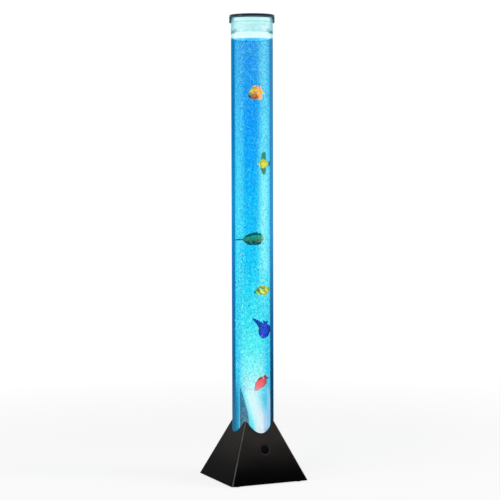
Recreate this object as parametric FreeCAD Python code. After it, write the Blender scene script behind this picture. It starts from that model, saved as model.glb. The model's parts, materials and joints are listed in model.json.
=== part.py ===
"""Bubble tube floor lamp: a water-filled acrylic tube with six fish on a pyramid base.

The origin is on the floor under the middle of the base, +Z is up and -Y is the front,
the face with the push button. All sizes are in millimetres.
"""

import FreeCAD, Part
import math
import os

V = FreeCAD.Vector
UP = V(0, 0, 1)

# ---- Whole lamp ----
TOTAL_HEIGHT = 1112.0  # floor to the top of the cap
RUNNING_GAP = 0.3  # radial gap between pieces that slide or are pushed together
GLUE_GAP = 0.1  # radial gap filled by adhesive or thread

# ---- Acrylic tube ----
TUBE_OUTER_D = 100.0
TUBE_WALL = 3.0
TUBE_FLOOR_THICKNESS = 6.0
SOCKET_DEPTH = 20.0  # how far the tube goes down inside the base, below the arcs

# ---- Pyramid base ----
BASE_WIDTH = 200.0
BASE_WALL = 3.0
BASE_EDGE_RADIUS = 8.0  # rounding of the four slanted corners
ARC_LOW_HEIGHT = 116.0  # lowest point of the curved notch in each face
TRIM_HALF_WIDTH = 34.5  # half the pyramid's width where it is trimmed, above its corner tips
SOCKET_WALL = 2.5
LEDGE_WIDTH = 8.0  # inward reach of the ledge that carries the tube
LEDGE_THICKNESS = 5.0
BASE_GASKET_THICKNESS = 2.0
PLATE_THICKNESS = 3.0
FOOT_HEIGHT = 3.0
FOOT_RADIUS = 11.0
FOOT_INSET = 20.0  # foot centre in from the sides of the base
BOSS_RADIUS = 5.0
SCREW_SHANK_RADIUS = 1.5
SCREW_HEAD_RADIUS = 3.0
SCREW_HEAD_HEIGHT = 1.8
SCREW_BITE = 12.0  # thread length above the plate
VENT_COUNT = 6
VENT_LENGTH = 34.0
VENT_WIDTH = 2.5
VENT_PITCH = 7.0

# ---- Cap ----
CAP_OUTER_D = 108.0
CAP_TOP_THICKNESS = 5.0
CAP_SKIRT_LENGTH = 13.0
CAP_PLUG_LENGTH = 37.0
CAP_PLUG_WALL = 2.5
CAP_SEAL_THICKNESS = 2.0
CAP_SEAT_GAP = 0.1
CAP_VENT_RADIUS = 1.5
CAP_VENT_CIRCLE = 12.0
CAP_VENT_COUNT = 3

# ---- Air inlet in the tube's floor ----
STEM_RADIUS = 4.8
STEM_LENGTH = 16.0  # below the tube's floor
AIR_BORE_RADIUS = 1.3
INLET_FLANGE_RADIUS = 9.0
INLET_FLANGE_THICKNESS = 3.0
INLET_WASHER_THICKNESS = 1.5
INLET_NUT_FLATS = 16.0
INLET_NUT_THICKNESS = 4.0
VALVE_RADIUS = 8.0
VALVE_LENGTH = 22.0
VALVE_SOCKET_DEPTH = 8.0
VALVE_CHAMBER_RADIUS = 5.0
VALVE_CHAMBER_LENGTH = 4.0
DIFFUSER_RADIUS = 43.0
DIFFUSER_WALL = 2.0
DIFFUSER_SKIRT = 8.0
DIFFUSER_PLATE = 3.0
DIFFUSER_EDGE = 1.5
DIFFUSER_HOLE_RADIUS = 1.3
DIFFUSER_RINGS = ((14.0, 6), (30.0, 12))  # circle radius and number of holes

# ---- Light ----
BOARD_THICKNESS = 1.6
LED_BOARD_RADIUS = 49.0
LED_BOARD_BORE = 15.0
LED_COUNT = 12
LED_CIRCLE = 33.0
LED_SIZE = 5.0
LED_HEIGHT = 1.4
LED_SCREW_COUNT = 3
LED_SCREW_CIRCLE = 45.5
LED_SCREW_RADIUS = 1.2
LED_SCREW_BITE = 4.0

# ---- Push button in the front face ----
BUTTON_BELOW_ARC = 37.0  # centre of the button under the lowest point of the front arc
BEZEL_RADIUS = 15.0
BEZEL_THICKNESS = 1.6
BEZEL_BARREL_RADIUS = 12.5
BEZEL_BARREL_LENGTH = 11.0
BEZEL_BARREL_WALL = 0.9
BEZEL_LIP_DEPTH = 3.6  # how far in the retaining lip reaches
BEZEL_LIP = 0.9
BUTTON_PROUD = 0.7
BUTTON_FLANGE_THICKNESS = 2.0
BUTTON_TRAVEL = 2.0
BUTTON_DISH = 0.9
BUTTON_STEM_RADIUS = 3.0
BUTTON_STEM_REACH = 2.0  # how far the stem is inside the switch at rest
BEZEL_NUT_RADIUS = 16.5
BEZEL_NUT_THICKNESS = 3.5
SWITCH_LENGTH = 10.0
SWITCH_CLEARANCE = 1.0  # below the stem when the key is fully pressed
SPRING_MEAN_RADIUS = 6.5
SPRING_WIRE = 0.9
SPRING_TURNS = 3
SPRING_STEPS = 16  # flats in each turn
SPRING_SIDES = 6  # flats around the wire
TERMINAL_LENGTH = 4.0
TERMINAL_WIDTH = 4.0
TERMINAL_THICKNESS = 1.0
TERMINAL_SPACING = 5.0

# ---- Power inlet in the back face ----
JACK_HEIGHT = 34.0
JACK_OFFSET = 40.0
JACK_FLANGE_RADIUS = 7.5
JACK_FLANGE_THICKNESS = 1.6
JACK_BARREL_RADIUS = 5.5
JACK_LENGTH = 16.0
JACK_BORE_RADIUS = 2.85
JACK_BORE_DEPTH = 10.0
JACK_PIN_RADIUS = 1.0
JACK_NUT_RADIUS = 8.0
JACK_NUT_THICKNESS = 2.5

# ---- Air pump ----
PUMP_WALL_GAP = 2.8  # between the top of the pump and the housing's wall
PUMP_WIDTH = 42.0
PUMP_LENGTH = 80.0
PUMP_CASE_HEIGHT = 30.0
PUMP_COVER_HEIGHT = 6.0
PUMP_WALL = 2.0
PUMP_MOUNT_HEIGHT = 4.0
PUMP_MOUNT_RADIUS = 4.0
PUMP_MOUNT_INSET = 7.0
INTAKE_RADIUS = 1.2
INTAKE_PITCH = 6.0
ARM_THICKNESS = 3.0
ARM_HEIGHT = 16.0
ARM_OFFSET = -9.5  # arm's middle plane from the pump's centre
ARM_PIVOT_Y = 32.0
ARM_TIP_Y = -34.0
ARM_BOSS_RADIUS = 4.0
PIVOT_RADIUS = 1.5
PIVOT_CLEARANCE = 0.06
MAGNET_LENGTH = 14.0
MAGNET_THICKNESS = 4.0
POLE_GAP = 3.0
CORE_DEPTH = 18.0
CORE_LENGTH = 20.0
CORE_LEG = 4.0
CORE_STACK = 16.0
COIL_WALL = 3.5
COIL_SETBACK = 1.5
VALVE_BLOCK_LENGTH = 24.0
VALVE_BLOCK_START_Y = -6.0
VALVE_BLOCK_DEPTH = 16.0
BELLOWS_Y = 6.0
BELLOWS_RADIUS = 9.0
BELLOWS_FOLDS = 3
BELLOWS_FOLD_DEPTH = 3.0

# ---- Hose and leads ----
HOSE_RADIUS = 3.0
HOSE_BORE_RADIUS = 2.0
BARB_RADIUS = 1.85
BARB_RIDGE = 0.12
BARB_LENGTH = 10.0
HOSE_HEIGHT = 30.0  # centre line of the run that leaves the pump
HOSE_BEND = 20.0
LEAD_RADIUS = 1.2
BEND_SHARE = 0.45  # part of a run that an arc may use

# ---- Control board ----
CONTROL_FROM_SIDE = 48.0  # the board's middle, in from the side of the base
CONTROL_Y = 8.0
CONTROL_SIZE = (44.0, 64.0)
STANDOFF_HEIGHT = 6.0
STANDOFF_RADIUS = 3.0
STANDOFF_INSET = 4.0
CONNECTOR_WIDTH = 8.0
CONNECTOR_HEIGHT = 6.0
# x and y from the board's centre, then the size along x, along y and up
CHIPS = ((0.0, 0.0, 10.0, 10.0, 2.0), (9.0, 12.5, 6.0, 5.0, 1.8))
# x and y from the board's centre, then radius and height
CANS = ((12.0, -12.0, 4.0, 12.0), (-2.0, 16.0, 5.0, 5.0))

# ---- Fish ----
FISH_TURN = -24.5  # the fish are seen side on from this many degrees left of the front
FIN_THICKNESS = 1.2
EYE_RADIUS = 1.7
MIN_HALF_THICKNESS = 0.8  # of a fish's body, at the nose and the tail

# ---- Worked out from the sizes above ----
tube_r = TUBE_OUTER_D / 2
tube_bore = tube_r - TUBE_WALL
cap_r = CAP_OUTER_D / 2
base_half = BASE_WIDTH / 2
socket_bore = tube_r + RUNNING_GAP
button_height = ARC_LOW_HEIGHT - BUTTON_BELOW_ARC
face_slope = (base_half - socket_bore) / (ARC_LOW_HEIGHT - FOOT_HEIGHT)
face_angle = math.atan(face_slope)
wall_across = BASE_WALL / math.cos(face_angle)
tube_bottom = ARC_LOW_HEIGHT - SOCKET_DEPTH
tube_floor_top = tube_bottom + TUBE_FLOOR_THICKNESS
ledge_top = tube_bottom - BASE_GASKET_THICKNESS
ledge_bottom = ledge_top - LEDGE_THICKNESS
plate_top = FOOT_HEIGHT + PLATE_THICKNESS
cap_under = TOTAL_HEIGHT - CAP_TOP_THICKNESS
tube_top = cap_under - CAP_SEAL_THICKNESS - CAP_SEAT_GAP
foot_place = base_half - FOOT_INSET
stem_bottom = tube_bottom - STEM_LENGTH
valve_top = stem_bottom + VALVE_SOCKET_DEPTH
valve_bottom = valve_top - VALVE_LENGTH
pump_bottom = plate_top + PUMP_MOUNT_HEIGHT
pump_joint = pump_bottom + PUMP_CASE_HEIGHT
pump_top = pump_joint + PUMP_COVER_HEIGHT
pump_middle_z = pump_bottom + (PUMP_CASE_HEIGHT + PUMP_COVER_HEIGHT) / 2
control_bottom = plate_top + STANDOFF_HEIGHT
control_top = control_bottom + BOARD_THICKNESS


def face_half(z):
    """Half the width of the pyramid's outside at height z."""
    return base_half - face_slope * (z - FOOT_HEIGHT)


pump_left = -face_half(pump_top) + wall_across + PUMP_WALL_GAP
pump_centre_x = pump_left + PUMP_WIDTH / 2
pump_right = pump_left + PUMP_WIDTH
arm_x = pump_centre_x + ARM_OFFSET
magnet_face = arm_x + ARM_THICKNESS / 2 + MAGNET_THICKNESS
core_face = magnet_face + POLE_GAP
block_right = pump_right - PUMP_WALL
block_left = block_right - VALVE_BLOCK_DEPTH
control_x = base_half - CONTROL_FROM_SIDE


# ---- Small builders ----
def cylinder(radius, low, high, x=0.0, y=0.0):
    return Part.makeCylinder(radius, high - low, V(x, y, low))


def ring(outer, inner, low, high):
    return cylinder(outer, low, high).cut(cylinder(inner, low - 1, high + 1))


def box(x0, x1, y0, y1, z0, z1):
    return Part.makeBox(x1 - x0, y1 - y0, z1 - z0, V(x0, y0, z0))


def revolved(outline):
    """Solid of revolution about Z of a closed outline of (radius, height) points."""
    points = [V(r, 0, z) for r, z in outline]
    points.append(points[0])
    return Part.Face(Part.makePolygon(points)).revolve(V(0, 0, 0), UP, 360)


def round_upright_edges(solid, radius):
    """Fillet the edges that aren't level."""
    def climbs(edge):
        return abs(edge.Vertexes[0].Z - edge.Vertexes[-1].Z) > 1e-6
    return solid.makeFillet(radius, [edge for edge in solid.Edges if climbs(edge)])


def rounded_block(x0, x1, y0, y1, z0, z1, radius):
    return round_upright_edges(box(x0, x1, y0, y1, z0, z1), radius)


def hexagon(flats, low, high):
    corner = flats / 2 / math.cos(math.pi / 6)
    points = [V(corner * math.cos(math.pi / 3 * i), corner * math.sin(math.pi / 3 * i), low)
              for i in range(6)]
    points.append(points[0])
    return Part.Face(Part.makePolygon(points)).extrude(V(0, 0, high - low))


def placed(shape, origin, direction):
    """A copy of a shape built about Z, moved so that its Z axis runs along direction."""
    moved = shape.copy()
    moved.Placement = FreeCAD.Placement(origin, FreeCAD.Rotation(UP, direction))
    return moved


def around(shape, count):
    """Copies of a shape spaced evenly about Z."""
    copies = []
    for i in range(count):
        copy = shape.copy()
        copy.rotate(V(0, 0, 0), UP, 360.0 * i / count)
        copies.append(copy)
    return copies


def square_wire(half, z):
    corners = ((-half, -half), (half, -half), (half, half), (-half, half), (-half, -half))
    return Part.makePolygon([V(x, y, z) for x, y in corners])


def frustum(inset, low, high, edge_radius):
    """The pyramid's form between two heights, its faces moved in by inset."""
    lower = square_wire(face_half(low) - inset, low)
    upper = square_wire(face_half(high) - inset, high)
    return round_upright_edges(Part.makeLoft([lower, upper], True, True), edge_radius)


def corner_copies(shape):
    """A shape at one corner of the base, repeated at all four."""
    return around(shape, 4)


def save(name, shape):
    solids = shape.Solids
    if not solids or not all(solid.isValid() for solid in solids):
        raise ValueError(name + " has no valid solid")
    result = solids[0] if len(solids) == 1 else Part.makeCompound(solids)
    result.exportStep("parts/" + name + ".step")


# ---- Places on the sloping faces ----
front_out = V(0, -math.cos(face_angle), math.sin(face_angle))
back_out = V(0, math.cos(face_angle), math.sin(face_angle))
button_place = V(0, -face_half(button_height), button_height)
jack_place = V(JACK_OFFSET, face_half(JACK_HEIGHT), JACK_HEIGHT)


# ---- Pyramid base ----
def base_housing():
    """Thin-walled pyramid whose faces are notched by the tube, with the tube's socket inside."""
    trim_height = FOOT_HEIGHT + (base_half - TRIM_HALF_WIDTH) / face_slope
    outside = frustum(0.0, FOOT_HEIGHT, trim_height, BASE_EDGE_RADIUS)
    inside = frustum(wall_across, FOOT_HEIGHT, trim_height, BASE_EDGE_RADIUS - BASE_WALL)
    shell = outside.cut(inside)
    socket = cylinder(socket_bore + SOCKET_WALL, ledge_bottom, trim_height).common(outside)
    place = foot_place
    boss = cylinder(BOSS_RADIUS, plate_top, button_height, place, place).common(outside)
    housing = shell.fuse([socket] + corner_copies(boss))
    cuts = [
        cylinder(socket_bore, ledge_top, trim_height + 1),
        cylinder(socket_bore - LEDGE_WIDTH, ledge_bottom - 1, trim_height + 1),
        placed(cylinder(BEZEL_BARREL_RADIUS + GLUE_GAP, -3 * BASE_WALL, BASE_WALL),
               button_place, front_out),
        placed(cylinder(JACK_BARREL_RADIUS + GLUE_GAP, -3 * BASE_WALL, BASE_WALL),
               jack_place, back_out),
    ]
    pilot = cylinder(SCREW_SHANK_RADIUS + GLUE_GAP, plate_top - 1,
                     plate_top + SCREW_BITE + 1, place, place)
    cuts += corner_copies(pilot)
    led_pilot = cylinder(LED_SCREW_RADIUS + GLUE_GAP, ledge_bottom - 1,
                         ledge_bottom + LED_SCREW_BITE + GLUE_GAP, 0, LED_SCREW_CIRCLE)
    cuts += around(led_pilot, LED_SCREW_COUNT)
    return housing.cut(cuts).removeSplitter()


def base_plate():
    """Bottom cover with air slots under the pump and posts for the control board."""
    half = face_half(plate_top) - wall_across - RUNNING_GAP
    plate = rounded_block(-half, half, -half, half, FOOT_HEIGHT, plate_top,
                          BASE_EDGE_RADIUS - BASE_WALL)
    posts = [cylinder(STANDOFF_RADIUS, plate_top, control_bottom, x, y)
             for x, y in control_corners()]
    plate = plate.fuse(posts)
    recess = cylinder(SCREW_HEAD_RADIUS + RUNNING_GAP, FOOT_HEIGHT - 1,
                      FOOT_HEIGHT + SCREW_HEAD_HEIGHT, foot_place, foot_place)
    hole = cylinder(SCREW_SHANK_RADIUS + GLUE_GAP, FOOT_HEIGHT - 1, plate_top + 1,
                    foot_place, foot_place)
    cuts = corner_copies(recess) + corner_copies(hole)
    first = -(VENT_COUNT - 1) / 2 * VENT_PITCH
    for i in range(VENT_COUNT):
        y = first + i * VENT_PITCH
        cuts.append(box(pump_centre_x - VENT_LENGTH / 2, pump_centre_x + VENT_LENGTH / 2,
                        y - VENT_WIDTH / 2, y + VENT_WIDTH / 2,
                        FOOT_HEIGHT - 1, plate_top + 1))
    return plate.cut(cuts)


def base_screws():
    head = cylinder(SCREW_HEAD_RADIUS, FOOT_HEIGHT, FOOT_HEIGHT + SCREW_HEAD_HEIGHT,
                    foot_place, foot_place)
    shank = cylinder(SCREW_SHANK_RADIUS, FOOT_HEIGHT, plate_top + SCREW_BITE,
                     foot_place, foot_place)
    return Part.makeCompound(corner_copies(head.fuse(shank)))


def rubber_feet():
    """Four tapered pads that cover the screws."""
    foot = Part.makeCone(FOOT_RADIUS - FOOT_HEIGHT / 3, FOOT_RADIUS, FOOT_HEIGHT,
                         V(foot_place, foot_place, 0))
    return Part.makeCompound(corner_copies(foot))


# ---- Tube ----
def tube_gasket():
    return ring(tube_r, socket_bore - LEDGE_WIDTH + 1, ledge_top, tube_bottom)


def tube_floor():
    disc = cylinder(tube_bore - GLUE_GAP, tube_bottom, tube_floor_top)
    return disc.cut(cylinder(STEM_RADIUS + GLUE_GAP, tube_bottom - 1, tube_floor_top + 1))


# ---- Air inlet ----
def barb(low, high):
    """Outline of a hose barb about Z, its tip at low, as (radius, height) points."""
    points = [(BARB_RADIUS, low)]
    step = (high - low) / 4
    for i in range(1, 4):
        points += [(BARB_RADIUS + BARB_RIDGE, low + i * step - step / 2),
                   (BARB_RADIUS, low + i * step)]
    points.append((BARB_RADIUS, high))
    return points


def inlet_fitting():
    flange_low = tube_floor_top + INLET_WASHER_THICKNESS
    flange_high = flange_low + INLET_FLANGE_THICKNESS
    return revolved([
        (AIR_BORE_RADIUS, stem_bottom), (STEM_RADIUS, stem_bottom), (STEM_RADIUS, flange_low),
        (INLET_FLANGE_RADIUS, flange_low), (INLET_FLANGE_RADIUS, flange_high - 1),
        (INLET_FLANGE_RADIUS - 1, flange_high), (AIR_BORE_RADIUS, flange_high)])


def inlet_washer():
    return ring(INLET_FLANGE_RADIUS, STEM_RADIUS + GLUE_GAP, tube_floor_top,
                tube_floor_top + INLET_WASHER_THICKNESS)


def inlet_nut():
    nut = hexagon(INLET_NUT_FLATS, tube_bottom - INLET_NUT_THICKNESS, tube_bottom)
    return nut.cut(cylinder(STEM_RADIUS + GLUE_GAP, stem_bottom, tube_bottom + 1))


def check_valve():
    """Non-return valve screwed on the stem, with the hose barb below."""
    chamber_low = valve_bottom + (VALVE_LENGTH - VALVE_SOCKET_DEPTH - VALVE_CHAMBER_LENGTH) / 2
    chamber_high = chamber_low + VALVE_CHAMBER_LENGTH
    tip = valve_bottom - BARB_LENGTH
    socket = STEM_RADIUS + GLUE_GAP
    return revolved(
        [(AIR_BORE_RADIUS, tip)] + barb(tip, valve_bottom)
        + [(VALVE_RADIUS, valve_bottom), (VALVE_RADIUS, valve_top), (socket, valve_top),
           (socket, stem_bottom), (AIR_BORE_RADIUS, stem_bottom),
           (AIR_BORE_RADIUS, chamber_high), (VALVE_CHAMBER_RADIUS, chamber_high),
           (VALVE_CHAMBER_RADIUS, chamber_low), (AIR_BORE_RADIUS, chamber_low)])


def air_diffuser():
    """Inverted dish with two rings of holes that splits the air into streams of bubbles."""
    skirt_top = tube_floor_top + DIFFUSER_SKIRT
    plate_high = skirt_top + DIFFUSER_PLATE
    inner = DIFFUSER_RADIUS - DIFFUSER_WALL
    dish = revolved([
        (0, skirt_top), (inner, skirt_top), (inner, tube_floor_top),
        (DIFFUSER_RADIUS, tube_floor_top), (DIFFUSER_RADIUS, plate_high - DIFFUSER_EDGE),
        (DIFFUSER_RADIUS - DIFFUSER_EDGE, plate_high), (0, plate_high)])
    holes = []
    for circle, count in DIFFUSER_RINGS:
        hole = cylinder(DIFFUSER_HOLE_RADIUS, skirt_top - 1, plate_high + 1, circle)
        holes += around(hole, count)
    return dish.cut(holes)


# ---- Light ----
def led_board():
    board = ring(LED_BOARD_RADIUS, LED_BOARD_BORE, ledge_bottom - BOARD_THICKNESS, ledge_bottom)
    hole = cylinder(LED_SCREW_RADIUS + GLUE_GAP, ledge_bottom - BOARD_THICKNESS - 1,
                    ledge_bottom + 1, 0, LED_SCREW_CIRCLE)
    return board.cut(around(hole, LED_SCREW_COUNT))


def leds():
    half = LED_SIZE / 2
    led = box(LED_CIRCLE - half, LED_CIRCLE + half, -half, half,
              ledge_bottom, ledge_bottom + LED_HEIGHT)
    return Part.makeCompound(around(led, LED_COUNT))


def led_screws():
    under = ledge_bottom - BOARD_THICKNESS
    head = cylinder(2 * LED_SCREW_RADIUS, under - LED_SCREW_BITE / 2, under,
                    0, LED_SCREW_CIRCLE)
    shank = cylinder(LED_SCREW_RADIUS, under, ledge_bottom + LED_SCREW_BITE,
                     0, LED_SCREW_CIRCLE)
    return Part.makeCompound(around(head.fuse(shank), LED_SCREW_COUNT))


# ---- Push button, built about Z with the outside of the face at 0 and inside below ----
bezel_bore = BEZEL_BARREL_RADIUS - BEZEL_BARREL_WALL
bezel_mouth = bezel_bore - BEZEL_LIP
button_stem_end = -BEZEL_BARREL_LENGTH - BUTTON_STEM_REACH
button_flange_top = -BEZEL_LIP_DEPTH - RUNNING_GAP
button_flange_low = button_flange_top - BUTTON_FLANGE_THICKNESS


def button_bezel():
    shape = revolved([
        (bezel_mouth, -BEZEL_LIP_DEPTH), (bezel_bore, -BEZEL_LIP_DEPTH),
        (bezel_bore, -BEZEL_BARREL_LENGTH), (BEZEL_BARREL_RADIUS, -BEZEL_BARREL_LENGTH),
        (BEZEL_BARREL_RADIUS, 0), (BEZEL_RADIUS, 0),
        (BEZEL_RADIUS, BEZEL_THICKNESS / 2), (BEZEL_RADIUS - BEZEL_THICKNESS / 2, BEZEL_THICKNESS),
        (bezel_mouth + BEZEL_THICKNESS / 2, BEZEL_THICKNESS),
        (bezel_mouth, BEZEL_THICKNESS / 2)])
    return placed(shape, button_place, front_out)


def button_cap():
    """Round key with a dished face, a retaining flange and a stem that works the switch."""
    top_radius = bezel_mouth - RUNNING_GAP
    flange_radius = bezel_bore - RUNNING_GAP
    shape = revolved([
        (0, button_stem_end), (BUTTON_STEM_RADIUS, button_stem_end),
        (BUTTON_STEM_RADIUS, button_flange_low), (flange_radius, button_flange_low),
        (flange_radius, button_flange_top), (top_radius, button_flange_top),
        (top_radius, BUTTON_PROUD - 0.5), (top_radius - 0.5, BUTTON_PROUD), (0, BUTTON_PROUD)])
    ball_radius = (top_radius ** 2 + BUTTON_DISH ** 2) / (2 * BUTTON_DISH)
    ball = Part.makeSphere(ball_radius, V(0, 0, BUTTON_PROUD - BUTTON_DISH + ball_radius))
    return placed(shape.cut(ball), button_place, front_out)


def wire_section(turn, height):
    """Outline across the spring's wire, at an angle round the spring and a height."""
    corners = []
    for i in range(SPRING_SIDES + 1):
        angle = 2 * math.pi * i / SPRING_SIDES
        out = SPRING_MEAN_RADIUS + SPRING_WIRE / 2 * math.cos(angle)
        level = height + SPRING_WIRE / 2 * math.sin(angle)
        corners.append(V(out * math.cos(turn), out * math.sin(turn), level))
    return Part.makePolygon(corners)


def button_spring():
    """Return spring between the key's flange and the switch, its wire faceted."""
    low = -BEZEL_BARREL_LENGTH + SPRING_WIRE / 2 + GLUE_GAP
    high = button_flange_low - SPRING_WIRE / 2 - GLUE_GAP
    steps = SPRING_TURNS * SPRING_STEPS
    sections = [wire_section(2 * math.pi * i / SPRING_STEPS, low + (high - low) * i / steps)
                for i in range(steps + 1)]
    return placed(Part.makeLoft(sections, True, True), button_place, front_out)


def button_nut():
    shape = ring(BEZEL_NUT_RADIUS, BEZEL_BARREL_RADIUS + GLUE_GAP,
                 -BASE_WALL - BEZEL_NUT_THICKNESS, -BASE_WALL)
    return placed(shape, button_place, front_out)


def switch_body():
    low = -BEZEL_BARREL_LENGTH - SWITCH_LENGTH
    body = cylinder(BEZEL_BARREL_RADIUS, low, -BEZEL_BARREL_LENGTH)
    pocket = cylinder(BUTTON_STEM_RADIUS + RUNNING_GAP,
                      button_stem_end - BUTTON_TRAVEL - SWITCH_CLEARANCE,
                      -BEZEL_BARREL_LENGTH + 1)
    return placed(body.cut(pocket), button_place, front_out)


def switch_terminals():
    top = -BEZEL_BARREL_LENGTH - SWITCH_LENGTH
    half_x = TERMINAL_WIDTH / 2
    half_y = TERMINAL_THICKNESS / 2
    blades = [box(x - half_x, x + half_x, -half_y, half_y, top - TERMINAL_LENGTH, top)
              for x in (-TERMINAL_SPACING, TERMINAL_SPACING)]
    return placed(Part.makeCompound(blades), button_place, front_out)


# ---- Power inlet, built about Z in the same way ----
def dc_jack():
    """Round panel socket for a barrel plug, open towards the back of the lamp."""
    shape = revolved([
        (0, -JACK_LENGTH), (JACK_BARREL_RADIUS, -JACK_LENGTH), (JACK_BARREL_RADIUS, 0),
        (JACK_FLANGE_RADIUS, 0), (JACK_FLANGE_RADIUS, JACK_FLANGE_THICKNESS),
        (JACK_BORE_RADIUS, JACK_FLANGE_THICKNESS), (JACK_BORE_RADIUS, -JACK_BORE_DEPTH),
        (0, -JACK_BORE_DEPTH)])
    return placed(shape, jack_place, back_out)


def jack_pin():
    pin = cylinder(JACK_PIN_RADIUS, -JACK_BORE_DEPTH, -JACK_FLANGE_THICKNESS)
    return placed(pin, jack_place, back_out)


def jack_nut():
    shape = ring(JACK_NUT_RADIUS, JACK_BARREL_RADIUS + GLUE_GAP,
                 -BASE_WALL - JACK_NUT_THICKNESS, -BASE_WALL)
    return placed(shape, jack_place, back_out)


# ---- Electromagnetic air pump ----
def pump_shell(low, high, open_low):
    """A tray or lid of the pump's casing, PUMP_WALL thick, open at its bottom or its top."""
    half_x = PUMP_WIDTH / 2
    half_y = PUMP_LENGTH / 2
    left = pump_centre_x - half_x
    right = pump_centre_x + half_x
    corner = 2 * PUMP_WALL
    outer = rounded_block(left, right, -half_y, half_y, low, high, corner)
    inner_low = low - 1 if open_low else low + PUMP_WALL
    inner_high = high - PUMP_WALL if open_low else high + 1
    inner = rounded_block(left + PUMP_WALL, right - PUMP_WALL, -half_y + PUMP_WALL,
                          half_y - PUMP_WALL, inner_low, inner_high, corner - PUMP_WALL)
    return outer.cut(inner)


def pump_case():
    case = pump_shell(pump_bottom, pump_joint, False)
    nipple_hole = placed(cylinder(BARB_RADIUS + RUNNING_GAP, 0, 3 * PUMP_WALL),
                         V(block_right - 1, 0, HOSE_HEIGHT), V(1, 0, 0))
    return case.cut(nipple_hole)


def pump_cover():
    cover = pump_shell(pump_joint, pump_top, True)
    intake = [cylinder(INTAKE_RADIUS, pump_top - 2 * PUMP_WALL, pump_top + 1,
                       pump_centre_x + INTAKE_PITCH * i, 0) for i in (-1, 0, 1)]
    return cover.cut(intake)


def pump_mounts():
    x = PUMP_WIDTH / 2 - PUMP_MOUNT_INSET
    y = PUMP_LENGTH / 2 - PUMP_MOUNT_INSET
    mounts = [cylinder(PUMP_MOUNT_RADIUS, plate_top, pump_bottom, pump_centre_x + sx * x, sy * y)
              for sx in (-1, 1) for sy in (-1, 1)]
    return Part.makeCompound(mounts)


def pump_pivot():
    return cylinder(PIVOT_RADIUS, pump_bottom + PUMP_WALL, pump_top - PUMP_WALL,
                    arm_x, ARM_PIVOT_Y)


def pump_arm():
    """Lever that swings about the pivot pin and drives the bellows."""
    half_t = ARM_THICKNESS / 2
    low = pump_middle_z - ARM_HEIGHT / 2
    high = pump_middle_z + ARM_HEIGHT / 2
    blade = box(arm_x - half_t, arm_x + half_t, ARM_TIP_Y, ARM_PIVOT_Y, low, high)
    hub = cylinder(ARM_BOSS_RADIUS, low, high, arm_x, ARM_PIVOT_Y)
    hole = cylinder(PIVOT_RADIUS + PIVOT_CLEARANCE, low - 1, high + 1, arm_x, ARM_PIVOT_Y)
    return blade.fuse(hub).cut(hole)


def pump_magnet():
    half = ARM_HEIGHT / 2 - 1
    return box(magnet_face - MAGNET_THICKNESS, magnet_face, ARM_TIP_Y,
               ARM_TIP_Y + MAGNET_LENGTH, pump_middle_z - half, pump_middle_z + half)


def core_start():
    """Y of the core's near end, which centres the core on the magnet."""
    return ARM_TIP_Y + MAGNET_LENGTH / 2 - CORE_LENGTH / 2


def pump_core():
    """E-shaped iron core: a back with three legs that face the magnet."""
    start = core_start()
    end = start + CORE_LENGTH
    low = pump_middle_z - CORE_STACK / 2
    high = pump_middle_z + CORE_STACK / 2
    back_x = core_face + CORE_DEPTH - CORE_LEG
    middle = (start + end) / 2
    pieces = [box(back_x, core_face + CORE_DEPTH, start, end, low, high)]
    for y in (start, middle - CORE_LEG / 2, end - CORE_LEG):
        pieces.append(box(core_face, back_x, y, y + CORE_LEG, low, high))
    return pieces[0].fuse(pieces[1:]).removeSplitter()


def pump_coil():
    """Winding on the core's middle leg."""
    middle = core_start() + CORE_LENGTH / 2
    half_y = CORE_LEG / 2 + RUNNING_GAP
    half_z = CORE_STACK / 2 + RUNNING_GAP
    x0 = core_face + COIL_SETBACK
    x1 = core_face + CORE_DEPTH - CORE_LEG - RUNNING_GAP
    outer = rounded_block(x0, x1, middle - half_y - COIL_WALL, middle + half_y + COIL_WALL,
                          pump_middle_z - half_z - COIL_WALL, pump_middle_z + half_z + COIL_WALL,
                          1.0)
    hole = box(x0 - 1, x1 + 1, middle - half_y, middle + half_y,
               pump_middle_z - half_z, pump_middle_z + half_z)
    return outer.cut(hole)


def pump_bellows():
    """Folded rubber cup between the arm and the valve block."""
    start = arm_x + ARM_THICKNESS / 2
    length = block_left - start
    fold = length / BELLOWS_FOLDS
    inner = BELLOWS_RADIUS - BELLOWS_FOLD_DEPTH
    outline = [(0, 0), (inner, 0)]
    for i in range(BELLOWS_FOLDS):
        outline += [(BELLOWS_RADIUS, (i + 0.5) * fold), (inner, (i + 1) * fold)]
    outline.append((0, length))
    return placed(revolved(outline), V(start, BELLOWS_Y, pump_middle_z), V(1, 0, 0))


def pump_valve_block():
    """Block with the pump's flap valves, and the outlet nipple that leaves the case."""
    block = box(block_left, block_right, VALVE_BLOCK_START_Y,
                VALVE_BLOCK_START_Y + VALVE_BLOCK_LENGTH,
                pump_bottom + PUMP_WALL, pump_joint - PUMP_WALL)
    nipple_length = PUMP_WALL + BARB_LENGTH
    outline = [(0, 0)] + barb(0, BARB_LENGTH) + [(BARB_RADIUS, nipple_length + 1),
                                                  (0, nipple_length + 1)]
    nipple = placed(revolved(outline), V(block_right + nipple_length, 0, HOSE_HEIGHT),
                    V(-1, 0, 0))
    bore = placed(cylinder(AIR_BORE_RADIUS, -1, nipple_length + 6),
                  V(block_right + nipple_length, 0, HOSE_HEIGHT), V(-1, 0, 0))
    return block.fuse(nipple).cut(bore)


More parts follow.
